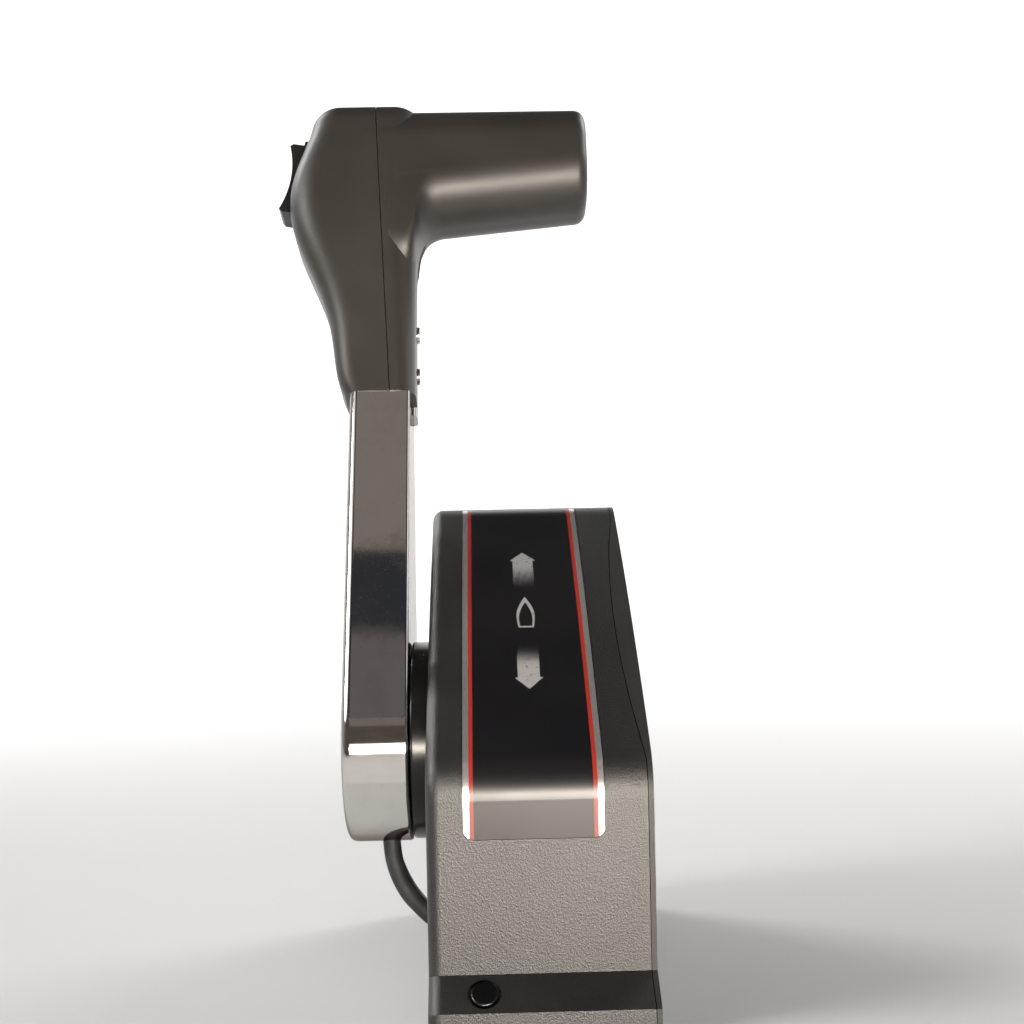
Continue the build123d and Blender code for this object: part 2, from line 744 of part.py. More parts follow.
# ---- shaft and what turns with it ----
with BuildPart() as main_shaft:
    with BuildSketch(Plane.YZ.offset(hub_floor_x)):
        Circle(shaft_flange_radius)
    extrude(amount=shaft_flange_thickness)
    with BuildSketch(Plane.YZ.offset(hub_floor_x)):
        Circle(shaft_radius)
    extrude(amount=shaft_inner_end - hub_floor_x)
    with BuildSketch(Plane.YZ.offset(hub_floor_x)):
        Circle(shaft_bore_radius)
    extrude(amount=shaft_bore_depth, mode=Mode.SUBTRACT)
    with BuildSketch(Plane.YZ.offset(hub_floor_x)):
        with PolarLocations(hub_screw_circle, 3, 90 - lever_lean):
            Circle(hub_screw_radius)
    extrude(amount=shaft_flange_thickness, mode=Mode.SUBTRACT)
    # groove for the retaining ring
    with BuildSketch(Plane.YZ.offset(ring_groove_x)):
        Circle(shaft_radius)
        Circle(shaft_radius - 0.8, mode=Mode.SUBTRACT)
    extrude(amount=1.2, mode=Mode.SUBTRACT)
main_shaft.part.label = "main_shaft"
export_step(main_shaft.part, "parts/main_shaft.step")

with BuildPart() as shaft_ring:
    add(retaining_ring(Plane.YZ.offset(ring_groove_x + 0.1), (0, 0),
                       shaft_radius - 0.75, shaft_radius + 2.5, 1.0))
shaft_ring.part.label = "shaft_ring"
export_step(shaft_ring.part, "parts/shaft_ring.step")

with BuildPart() as hub_screws:
    with BuildSketch(Plane.YZ.offset(hub_floor_x - hub_screw_depth)):
        with PolarLocations(hub_screw_circle, 3, 90 - lever_lean):
            Circle(hub_screw_radius)
    extrude(amount=hub_screw_depth + shaft_flange_thickness)
    with BuildSketch(Plane.YZ.offset(hub_floor_x + shaft_flange_thickness)):
        with PolarLocations(hub_screw_circle, 3, 90 - lever_lean):
            Circle(hub_screw_radius + 1.2)
    extrude(amount=1.6)
hub_screws.part.label = "hub_screws"
export_step(hub_screws.part, "parts/hub_screws.step")

with BuildPart() as drive_gear:
    with BuildSketch(Plane.YZ.offset(arm_left)):
        Circle(gear_module * drive_teeth / 2 - 1.25 * gear_module)
        with PolarLocations(0, drive_teeth):
            Polygon(*tooth_outline(drive_teeth, gear_module), align=None)
        Circle(shaft_radius + 0.01, mode=Mode.SUBTRACT)
    extrude(amount=gear_thickness)
drive_gear.part.label = "drive_gear"
export_step(drive_gear.part, "parts/drive_gear.step")


with BuildPart() as detent_wheel:
    with BuildSketch(Plane.YZ.offset(wheel_x - wheel_thickness / 2)):
        Circle(wheel_radius)
        Circle(shaft_radius + 0.01, mode=Mode.SUBTRACT)
        for angle in (-90 - idle_notch_angle, -90, -90 + idle_notch_angle):
            with PolarLocations(wheel_radius - wheel_notch, 1, angle):
                Polygon((0, 0), (wheel_notch + 0.4, wheel_notch + 0.6),
                        (wheel_notch + 0.4, -wheel_notch - 0.6), align=None, mode=Mode.SUBTRACT)
    extrude(amount=wheel_thickness)
detent_wheel.part.label = "detent_wheel"
export_step(detent_wheel.part, "parts/detent_wheel.step")

with BuildPart() as throttle_crank:
    with BuildSketch(Plane.YZ.offset(crank_x - crank_thickness / 2)):
        with BuildSketch(mode=Mode.PRIVATE) as crank_ends:
            Circle(shaft_radius + 4)
            with PolarLocations(crank_length, 1, crank_angle):
                Circle(5.0)
        make_hull(crank_ends.sketch.edges())
        Circle(shaft_radius + 0.01, mode=Mode.SUBTRACT)
        with PolarLocations(crank_length, 1, crank_angle):
            Circle(cable_pin_radius + 0.01, mode=Mode.SUBTRACT)
    extrude(amount=crank_thickness)
throttle_crank.part.label = "throttle_crank"
export_step(throttle_crank.part, "parts/throttle_crank.step")


def cable_pin(plane, place, grip, shank):
    """A shouldered pin for a cable's end: a head, the press fit and a free shank with a groove."""
    with BuildPart() as pin:
        with BuildSketch(plane):
            with Locations(place):
                Circle(cable_pin_radius)
        extrude(amount=grip + shank)
        with BuildSketch(plane.offset(grip)):
            with Locations(place):
                Circle(cable_pin_radius + 1.2)
        extrude(amount=1.0)
        with BuildSketch(plane.offset(grip + shank - 2.5)):
            with Locations(place):
                Circle(cable_pin_radius)
                Circle(cable_pin_radius - 0.6, mode=Mode.SUBTRACT)
        extrude(amount=1.0, mode=Mode.SUBTRACT)
    return pin.part


crank_turn = radians(crank_angle)
with BuildPart() as throttle_cable_pin:
    add(cable_pin(Plane.YZ.offset(crank_x - crank_thickness / 2),
                  (crank_length * cos(crank_turn), crank_length * sin(crank_turn)),
                  crank_thickness, 6.5))
throttle_cable_pin.part.label = "throttle_cable_pin"
export_step(throttle_cable_pin.part, "parts/throttle_cable_pin.step")

# ---- shift arm: a toothed sector with an arm for the shift cable ----
far = 80.0  # well past the sector's teeth
sector_root = gear_module * arm_teeth / 2 - 1.25 * gear_module
arm_turn = radians(-90 - arm_rest_lean)
arm_end = (arm_pivot[0] + shift_arm_length * cos(arm_turn), shift_arm_length * sin(arm_turn))
with BuildPart() as shift_arm:
    with BuildSketch(Plane.YZ.offset(arm_left)):
        with Locations(arm_pivot):
            Circle(sector_root)
            with PolarLocations(0, sector_teeth, 180 - 180 / arm_teeth * (sector_teeth - 1),
                                360 / arm_teeth * sector_teeth):
                Polygon(*tooth_outline(arm_teeth, 0.8 * gear_module), align=None)
            # what lies outside the toothed sector is cut away
            with PolarLocations(0, 1, 180):
                half_sector = radians(180 / arm_teeth * sector_teeth + 1.5)
                edge_y, edge_z = far * cos(half_sector), far * sin(half_sector)
                Polygon((0, 0), (edge_y, edge_z), (-far, 2 * far), (-far, -2 * far),
                        (edge_y, -edge_z), align=None, mode=Mode.SUBTRACT)
            with PolarLocations(0, 1, 180):
                with Locations((sector_root * 0.62, 0)):
                    SlotOverall(20, 8, rotation=90, mode=Mode.SUBTRACT)
        with BuildSketch(mode=Mode.PRIVATE) as arm_ends:
            with Locations(arm_pivot):
                Circle(pivot_pin_radius + 5)
            with Locations(arm_end):
                Circle(cable_pin_radius + 3)
        make_hull(arm_ends.sketch.edges())
        with Locations(arm_pivot):
            Circle(pivot_pin_radius + shaft_clearance, mode=Mode.SUBTRACT)
        with Locations(arm_end):
            Circle(cable_pin_radius + 0.01, mode=Mode.SUBTRACT)
    extrude(amount=gear_thickness)
shift_arm.part.label = "shift_arm"
export_step(shift_arm.part, "parts/shift_arm.step")

with BuildPart() as shift_cable_pin:
    add(cable_pin(Plane.YZ.offset(arm_left), arm_end, gear_thickness, 6.5))
shift_cable_pin.part.label = "shift_cable_pin"
export_step(shift_cable_pin.part, "parts/shift_cable_pin.step")

# ---- control lever ----
corner_distance = sqrt(lever_top**2 + (lever_top_width / 2) ** 2)
corner_angle = degrees(acos(lever_top_width / 2 / corner_distance))


def lever_outline(inset=0.0):
    """The lever's side view, in across and along: a round hub and the arm's edges tangent to it."""
    radius = lever_hub_radius - inset
    touch = corner_angle - degrees(acos(radius / corner_distance))
    with BuildSketch() as side:
        Circle(radius)
        with BuildLine():
            fore = PolarLine((0, 0), radius, touch)
            aft = PolarLine((0, 0), radius, 180 - touch)
            Polyline(fore @ 1, (lever_top_width / 2 - inset, lever_top),
                     (-lever_top_width / 2 + inset, lever_top), aft @ 1)
        make_face()
    return side.sketch


def height_along(thing):
    """How far along the lever the middle of an edge or face lies."""
    middle = thing.center()
    return middle.Y * sin(lean) + middle.Z * cos(lean)


with BuildPart() as lever_arm:
    with BuildSketch(lever_side.offset(lever_left)):
        add(lever_outline())
    extrude(amount=lever_thickness)
    sides = lever_arm.edges().filter_by(lambda e: height_along(e) < lever_top - 0.5)
    fillet(sides.filter_by_position(Axis.X, lever_left, lever_left), lever_edge_radius)
    sides = lever_arm.edges().filter_by(lambda e: height_along(e) < lever_top - 0.5)
    fillet(sides.filter_by_position(Axis.X, lever_right, lever_right), lever_inner_edge)
    # the spine that carries the grip
    with BuildSketch(lever_section(lever_top - 3)):
        with Locations(((spine_left + spine_right) / 2, (spine_aft + spine_front) / 2)):
            RectangleRounded(spine_right - spine_left, spine_front - spine_aft, 2.5)
    extrude(amount=spine_top - lever_top + 3)
    with BuildSketch(Plane.YZ.offset(spine_right)):
        with Locations(*grip_screw_points):
            Circle(grip_screw_radius + 0.1)
    extrude(amount=spine_left - spine_right, mode=Mode.SUBTRACT)
    with BuildSketch(Plane.YZ.offset(hub_floor_x)):
        Circle(hub_cavity_radius)
    extrude(amount=lever_thickness, mode=Mode.SUBTRACT)
    # channel for the lock rod and the switch lead, from the hub's cavity to the grip
    with BuildSketch(lever_section(lever_top)):
        with Locations((channel_x, channel_across)):
            RectangleRounded(channel_width, channel_depth, 2.0)
    extrude(amount=-lever_top + hub_cavity_radius - 4, mode=Mode.SUBTRACT)
    # the button's well in the hub's outer wall
    with BuildSketch(Plane.YZ.offset(lever_left)):
        Circle(button_radius + running_gap)
    extrude(amount=button_thickness + button_travel + 0.4, mode=Mode.SUBTRACT)
    with BuildSketch(Plane.YZ.offset(hub_floor_x)):
        Circle(shaft_bore_radius + 2.5)
    extrude(amount=-hub_wall, mode=Mode.SUBTRACT)
    with BuildSketch(Plane.YZ.offset(hub_floor_x)):
        with PolarLocations(hub_screw_circle, 3, 90 - lever_lean):
            Circle(hub_screw_radius)
    extrude(amount=-hub_screw_depth, mode=Mode.SUBTRACT)
    # the lead's hole in the hub's rim, underneath
    with BuildSketch(Plane.XY.offset(-lever_hub_radius - 2)):
        with Locations((lead_hole_x, lead_exit_y)):
            Circle(lead_radius + running_gap)
    extrude(amount=lever_hub_radius - hub_cavity_radius + 6, mode=Mode.SUBTRACT)
lever_arm.part.label = "lever_arm"
export_step(lever_arm.part, "parts/lever_arm.step")

with BuildPart() as throttle_only_button:
    with BuildSketch(Plane.YZ.offset(lever_left)):
        Circle(button_radius)
    extrude(amount=button_thickness)
    fillet(throttle_only_button.edges().filter_by_position(Axis.X, lever_left, lever_left), 0.8)
    with BuildSketch(Plane.YZ.offset(lever_left)):
        Circle(button_stem_radius)
    extrude(amount=button_stem_length)
throttle_only_button.part.label = "throttle_only_button"
export_step(throttle_only_button.part, "parts/throttle_only_button.step")

# ---- grip ----
def seam_x(along):
    """Where the seam between the grip's two halves lies, at a height along the lever."""
    return seam_low_x + (seam_high_x - seam_low_x) * (along - lever_top) / (grip_top - lever_top)


def bar_under(x):
    """Height of the bar's underside along the lever, which falls towards the neck."""
    return grip_under - (grip_end_x - x) * tan(radians(bar_fall))


def bar_section(x, under, over, shrink=0.0):
    """The bar's rounded section at X, between two heights along the lever."""
    with BuildSketch(lever_side.offset(x)) as section:
        with Locations((0, (under + over) / 2)):
            RectangleRounded(grip_depth - 2 * shrink, over - under, bar_corner - shrink)
    return section.sketch


def grip_block(inset=0.0):
    """The T-shaped grip as one block: a swelling neck that carries a bar to the right."""
    with BuildPart() as block:
        for along, left, right, depth, corner in neck_stations:
            below = inset if along == grip_top else 0.0
            with BuildSketch(lever_section(along - below)):
                with Locations((left_x - (left + right) / 2, 0)):
                    RectangleRounded(left - right - 2 * inset, depth - 2 * inset,
                                     corner - inset * 0.6)
        loft()
        crown = block.faces().sort_by(Axis((0, 0, 0), (0, sin(lean), cos(lean))))[-1]
        fillet(crown.edges(), grip_crown_radius - inset)
    with BuildPart() as bar:
        loft([bar_section(x, bar_under(x) + inset, grip_top - inset, inset)
              for x in (bar_root_x, grip_end_x - inset)], ruled=True)
        fillet(bar.faces().sort_by(Axis.X)[-1].edges(), bar_end_radius - inset)
    with BuildPart() as grip:
        add(block.part)
        add(bar.part)
        if not inset:
            add(armpit())
    return grip.part


def armpit():
    """The flare that rounds the corner between the neck and the bar's underside."""
    neck_right = left_x - neck_stations[3][2]
    flare_end = neck_right + armpit_radius
    level, over = bar_under(flare_end) + 0.1, grip_top - grip_wall
    sections = [bar_section(neck_right - armpit_radius, level - 2.2 * armpit_radius, over, 0.1)]
    for turn in (10, 35, 62, 90):
        x = flare_end - armpit_radius * cos(radians(turn))
        sections.append(bar_section(x, level - armpit_radius * (1 - sin(radians(turn))), over, 0.1))
    with BuildPart() as flare:
        loft(sections)
    return flare.part


def seam_side(left, gap):
    """Everything to one side of the grip's slanted seam."""
    with BuildPart() as side:
        with BuildSketch(lever_face):
            with BuildLine():
                shift = -gap / 2 if left else gap / 2
                low, high = seam_x(lever_top - 5) + shift, seam_x(grip_top + 5) + shift
                far = -140 if left else 20
                Polyline((low, lever_top - 5), (high, grip_top + 5), (far, grip_top + 5),
                         (far, lever_top - 5), close=True)
            make_face()
        extrude(amount=grip_depth, both=True)
    return side.part


block, hollow = grip_block(), grip_block(grip_wall)

with BuildPart() as grip_cuts:
    # room for the lever's spine, the trigger's slot and the trim switch's window
    with BuildSketch(lever_section(lever_top)):
        with Locations((spine_left - grip_seam, (spine_aft + spine_front) / 2)):
            RectangleRounded(40, spine_front - spine_aft + 2 * grip_seam, 2.5 + grip_seam,
                             align=(Align.MIN, Align.CENTER))
    extrude(amount=spine_top - lever_top + grip_seam)
    with BuildSketch(lever_section(trigger_low - running_gap)):
        with Locations(((trigger_left + trigger_right) / 2, 0)):
            RectangleRounded(trigger_right - trigger_left + 2 * running_gap, 2 * trigger_front,
                             1.5, align=(Align.CENTER, Align.MIN))
    extrude(amount=trigger_height + lock_travel + 2 * running_gap)

switch_plane = Plane(origin=lever_point(rocker_face_x, 0, rocker_along),
                     x_dir=(0, cos(lean), -sin(lean)),
                     z_dir=Vector(-1, 0, 0).rotate(Axis((0, 0, 0), (0, cos(lean), -sin(lean))),
                                                   rocker_face_lean))
rocker_pin_plane = Plane(origin=switch_plane.offset(-rocker_pin_drop).origin,
                         x_dir=switch_plane.y_dir, z_dir=switch_plane.x_dir)
with BuildPart() as switch_window:
    with BuildSketch(switch_plane.offset(6)):
        RectangleRounded(rocker_width + 3.0, rocker_length + 3.0, 2.0)
    extrude(amount=-6 - switch_body_depth)

with BuildPart() as grip_bosses:
    with BuildSketch(Plane.YZ.offset(spine_left - grip_seam)):
        with Locations(*grip_screw_points):
            Circle(grip_screw_radius + 2.2)
    extrude(amount=grip_bulge_x - spine_left)
    add(block, mode=Mode.INTERSECT)
    with BuildSketch(Plane.YZ.offset(spine_left - grip_seam)):
        with Locations(*grip_screw_points):
            Circle(grip_screw_radius)
    extrude(amount=-grip_screw_bite, mode=Mode.SUBTRACT)

with BuildPart() as grip_outer_shell:
    add(block)
    add(hollow, mode=Mode.SUBTRACT)
    add(seam_side(True, grip_seam), mode=Mode.INTERSECT)
    add(grip_cuts.part, mode=Mode.SUBTRACT)
    add(switch_window.part, mode=Mode.SUBTRACT)
    add(grip_bosses.part)
grip_outer_shell.part.label = "grip_outer_shell"
export_step(grip_outer_shell.part, "parts/grip_outer_shell.step")

with BuildPart() as grip_inner_shell:
    add(block)
    add(hollow, mode=Mode.SUBTRACT)
    add(seam_side(False, grip_seam), mode=Mode.INTERSECT)
    add(grip_cuts.part, mode=Mode.SUBTRACT)
grip_inner_shell.part.label = "grip_inner_shell"
export_step(grip_inner_shell.part, "parts/grip_inner_shell.step")

with BuildPart() as grip_screws:
    with BuildSketch(Plane.YZ.offset(spine_right)):
        with Locations(*grip_screw_points):
            Circle(grip_screw_radius)
    extrude(amount=spine_left - grip_seam - grip_screw_bite + 1.0 - spine_right)
    with BuildSketch(Plane.YZ.offset(spine_right)):
        with Locations(*grip_screw_points):
            Circle(grip_head_radius)
    extrude(amount=grip_head_height)
grip_screws.part.label = "grip_screws"
export_step(grip_screws.part, "parts/grip_screws.step")

with BuildPart() as trim_switch_body:
    with BuildSketch(switch_plane):
        RectangleRounded(rocker_width + 3.0 - 0.2, rocker_length + 3.0 - 0.2, 1.9)
    extrude(amount=-switch_body_depth)
    # well that the rocker stands in, with its pin across it
    with BuildSketch(switch_plane):
        Rectangle(rocker_width, rocker_length + 0.4)
    extrude(amount=-rocker_well, mode=Mode.SUBTRACT)
    with BuildSketch(rocker_pin_plane):
        Circle(rocker_pin_radius)
    extrude(amount=(rocker_width + 2.8) / 2, both=True, mode=Mode.SUBTRACT)
trim_switch_body.part.label = "trim_switch_body"
export_step(trim_switch_body.part, "parts/trim_switch_body.step")

with BuildPart() as rocker_pin:
    with BuildSketch(rocker_pin_plane):
        Circle(rocker_pin_radius)
    extrude(amount=(rocker_width + 2.8) / 2 - 0.4, both=True)
rocker_pin.part.label = "rocker_pin"
export_step(rocker_pin.part, "parts/rocker_pin.step")

with BuildPart() as trim_rocker:
    # seen along its pin: a hollowed thumb face with a lobe at each end, and a barrel below
    with BuildSketch(rocker_pin_plane):
        with BuildLine():
            end = rocker_length / 2 - running_gap
            foot = rocker_pin_drop - rocker_foot
            Polyline((-end, foot), (-end, rocker_lower_lobe - 1.2), (-end + 1.0, rocker_lower_lobe))
            ThreePointArc((-end + 1.0, rocker_lower_lobe), (0.5, rocker_dip),
                          (end - 1.0, rocker_upper_lobe))
            Polyline((end - 1.0, rocker_upper_lobe), (end, rocker_upper_lobe - 1.2), (end, foot),
                     (-end, foot))
        make_face()
        Circle(rocker_barrel)
        Circle(rocker_pin_radius + shaft_clearance, mode=Mode.SUBTRACT)
    extrude(amount=(rocker_width - 2 * running_gap) / 2, both=True)
trim_rocker.part.label = "trim_rocker"
export_step(trim_rocker.part, "parts/trim_rocker.step")

# ---- neutral lock: a finger trigger that lifts a rod and its pin out of the hub plate's notch ----
with BuildPart() as lock_trigger:
    with BuildSketch(lever_section(trigger_low)):
        with Locations(((trigger_left + trigger_right) / 2, foot_aft)):
            RectangleRounded(trigger_right - trigger_left, trigger_front - foot_aft, 1.5,
                             align=(Align.CENTER, Align.MIN))
    extrude(amount=trigger_height)
    front = lock_trigger.faces().sort_by(Axis((0, 0, 0), (0, cos(lean), -sin(lean))))[-1]
    fillet(front.edges().filter_by(Axis.X), 3.0)
    with BuildSketch(lever_section(trigger_low)):
        with Locations((trigger_left, foot_aft)):
            Rectangle(rod_x + rod_radius + 0.6 - trigger_left, foot_front - foot_aft,
                      align=(Align.MIN, Align.MIN))
    extrude(amount=foot_height)
    with BuildSketch(lever_section(trigger_low)):
        with Locations((rod_x, 0)):
            Circle(rod_radius + 0.01)
    extrude(amount=foot_height, mode=Mode.SUBTRACT)
lock_trigger.part.label = "lock_trigger"
export_step(lock_trigger.part, "parts/lock_trigger.step")

pin_low = lock_ring_radius + running_gap
with BuildPart() as lock_pin:
    with BuildSketch(lever_section(pin_low)):
        with Locations((rod_x, 0)):
            Circle(lock_pin_radius)
    extrude(amount=lock_pin_length)
    chamfer(lock_pin.edges().sort_by(Axis.Z)[0], 0.6)
lock_pin.part.label = "lock_pin"
export_step(lock_pin.part, "parts/lock_pin.step")

with BuildPart() as lock_rod:
    with BuildSketch(lever_section(pin_low + lock_pin_length)):
        with Locations((rod_x, 0)):
            Circle(rod_radius)
    extrude(amount=trigger_low + foot_height - pin_low - lock_pin_length)
lock_rod.part.label = "lock_rod"
export_step(lock_rod.part, "parts/lock_rod.step")

with BuildPart() as rod_guide:
    with BuildSketch(lever_section(guide_low)):
        with Locations((channel_x, channel_across)):
            RectangleRounded(channel_width - 0.02, channel_depth - 0.02, 2.0)
        with Locations((rod_x, 0)):
            Circle(rod_radius + shaft_clearance, mode=Mode.SUBTRACT)
        with Locations((lead_run_x, lead_run_across)):
            Circle(inner_lead_radius + 0.2, mode=Mode.SUBTRACT)
            with Locations((0, 4)):
                Rectangle(2 * inner_lead_radius + 0.4, 8, mode=Mode.SUBTRACT)
    extrude(amount=guide_height)
rod_guide.part.label = "rod_guide"
export_step(rod_guide.part, "parts/rod_guide.step")


def coil_spring(plane, height, radius, wire, turns):
    """A compression spring that fills a height along its plane's normal."""
    pitch = (height - 2 * wire) / turns
    start = plane.offset(wire)
    with BuildPart() as coil:
        with BuildLine():
            helix = Helix(pitch, height - 2 * wire, radius, center=start.origin, direction=plane.z_dir)
        with BuildSketch(Plane(origin=helix @ 0, z_dir=helix % 0)):
            RegularPolygon(wire, 8)
        sweep(path=helix, is_frenet=True)
    return coil.part


with BuildPart() as lock_spring:
    seat = lever_section(pin_low + lock_pin_length)
    seat.origin = Vector(*lever_point(rod_x, 0, pin_low + lock_pin_length))
    add(coil_spring(seat, guide_low - pin_low - lock_pin_length, rod_radius + 0.9, 0.5, 7))
lock_spring.part.label = "lock_spring"
export_step(lock_spring.part, "parts/lock_spring.step")

with BuildPart() as button_spring:
    add(coil_spring(Plane.YZ.offset(lever_left + button_thickness),
                    hub_floor_x - lever_left - button_thickness, shaft_bore_radius + 1.6, 0.45, 3))
button_spring.part.label = "button_spring"
export_step(button_spring.part, "parts/button_spring.step")
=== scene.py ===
import math

import bmesh
import bpy
from mathutils import Matrix, Vector


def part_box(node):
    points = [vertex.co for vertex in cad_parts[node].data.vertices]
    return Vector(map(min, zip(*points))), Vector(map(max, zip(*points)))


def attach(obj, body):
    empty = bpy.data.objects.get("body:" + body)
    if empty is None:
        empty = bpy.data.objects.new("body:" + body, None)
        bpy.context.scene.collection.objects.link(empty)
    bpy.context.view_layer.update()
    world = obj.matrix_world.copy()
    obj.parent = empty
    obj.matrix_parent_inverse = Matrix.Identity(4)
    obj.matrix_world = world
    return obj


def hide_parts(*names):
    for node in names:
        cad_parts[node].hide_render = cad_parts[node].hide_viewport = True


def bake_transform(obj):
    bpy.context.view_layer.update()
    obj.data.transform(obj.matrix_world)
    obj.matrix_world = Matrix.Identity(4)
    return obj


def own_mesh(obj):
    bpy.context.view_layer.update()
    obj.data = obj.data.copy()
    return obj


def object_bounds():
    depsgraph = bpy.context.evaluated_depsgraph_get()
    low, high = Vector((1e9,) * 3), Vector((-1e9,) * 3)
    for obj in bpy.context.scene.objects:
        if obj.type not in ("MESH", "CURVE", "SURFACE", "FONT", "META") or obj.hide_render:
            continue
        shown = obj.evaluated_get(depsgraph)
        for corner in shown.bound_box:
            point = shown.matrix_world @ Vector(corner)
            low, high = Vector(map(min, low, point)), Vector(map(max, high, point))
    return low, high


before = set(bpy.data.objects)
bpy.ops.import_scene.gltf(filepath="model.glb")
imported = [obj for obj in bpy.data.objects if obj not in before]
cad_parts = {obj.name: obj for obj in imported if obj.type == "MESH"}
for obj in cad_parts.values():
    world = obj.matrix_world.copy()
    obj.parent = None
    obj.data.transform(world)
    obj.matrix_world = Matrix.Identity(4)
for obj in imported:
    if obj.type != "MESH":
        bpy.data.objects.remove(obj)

# Side-mount throttle and shift control: finishes and trim for the lever, its grip and its housing.
# X is across the boat with the mounting face at 0, +Y is forward, +Z is up.
# Places and sizes of pieces are in millimetres. Those of the stage and the lights are in metres.

cad_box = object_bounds()
MM = 0.001


def add_object(name, data):
    """A new object in the scene that shows the data."""
    made = bpy.data.objects.new(name, data)
    bpy.context.collection.objects.link(made)
    return made


def add_node(tree, kind, settings, inputs):
    """A new node with its settings, and a value or a link for each input that is given."""
    made = tree.nodes.new(kind)
    for name, value in settings.items():
        setattr(made, name, value)
    for name, value in inputs.items():
        socket = made.inputs[name]
        if isinstance(value, bpy.types.NodeSocket):
            tree.links.new(value, socket)
        elif socket.type == "RGBA":
            socket.default_value = (*value, 1.0)
        else:
            socket.default_value = value
    return made


# ---- camera ----
camera_data = bpy.data.cameras.new("camera")
camera_data.lens = 49.2
camera_data.sensor_width = 36.0
camera_data.clip_start = 0.01
camera_data.clip_end = 50.0
camera = add_object("camera", camera_data)
camera_place = Vector((-49.5, -483.0, 77.6)) * MM
camera_yaw = math.radians(-1.15)
camera_rise = math.radians(90)  # from straight down to level
camera_roll = math.radians(-1.15)
camera.matrix_world = (
    Matrix.Translation(camera_place)
    @ Matrix.Rotation(camera_yaw, 4, "Z")
    @ Matrix.Rotation(camera_rise, 4, "X")
    @ Matrix.Rotation(camera_roll, 4, "Z")
)
bpy.context.scene.camera = camera


# ---- shader arithmetic ----
class Signal:
    """One output socket of a finish's node tree, which can be used in arithmetic."""

    def __init__(self, finish, socket):
        self.finish = finish
        self.socket = socket

    def math(self, operation, first, second=None):
        inputs = {0: first} if second is None else {0: first, 1: second}
        return self.finish.node("ShaderNodeMath", {"operation": operation}, inputs)

    def __add__(self, other):
        return self.math("ADD", self, other)

    __radd__ = __add__

    def __sub__(self, other):
        return self.math("SUBTRACT", self, other)

    def __rsub__(self, other):
        return self.math("SUBTRACT", other, self)

    def __mul__(self, other):
        return self.math("MULTIPLY", self, other)

    __rmul__ = __mul__

    def __truediv__(self, other):
        return self.math("DIVIDE", self, other)

    def __pow__(self, other):
        return self.math("POWER", self, other)

    def __abs__(self):
        return self.math("ABSOLUTE", self)

    def __lt__(self, other):
        return self.math("LESS_THAN", self, other)

    def __gt__(self, other):
        return self.math("GREATER_THAN", self, other)

    def __and__(self, other):
        return self.math("MINIMUM", self, other)

    def __or__(self, other):
        return self.math("MAXIMUM", self, other)

    def clamp(self):
        return self.math("MINIMUM", self.math("MAXIMUM", self, 0.0), 1.0)

    def fraction(self):
        return self.math("FRACT", self)

    def ramp(self, low, high, out_low=0.0, out_high=1.0):
        """Runs smoothly from out_low to out_high while the signal runs from low to high."""
        return self.finish.node(
            "ShaderNodeMapRange",
            {"interpolation_type": "SMOOTHSTEP", "clamp": True},
            {
                "Value": self, "From Min": low, "From Max": high,
                "To Min": out_low, "To Max": out_high,
            },
        )


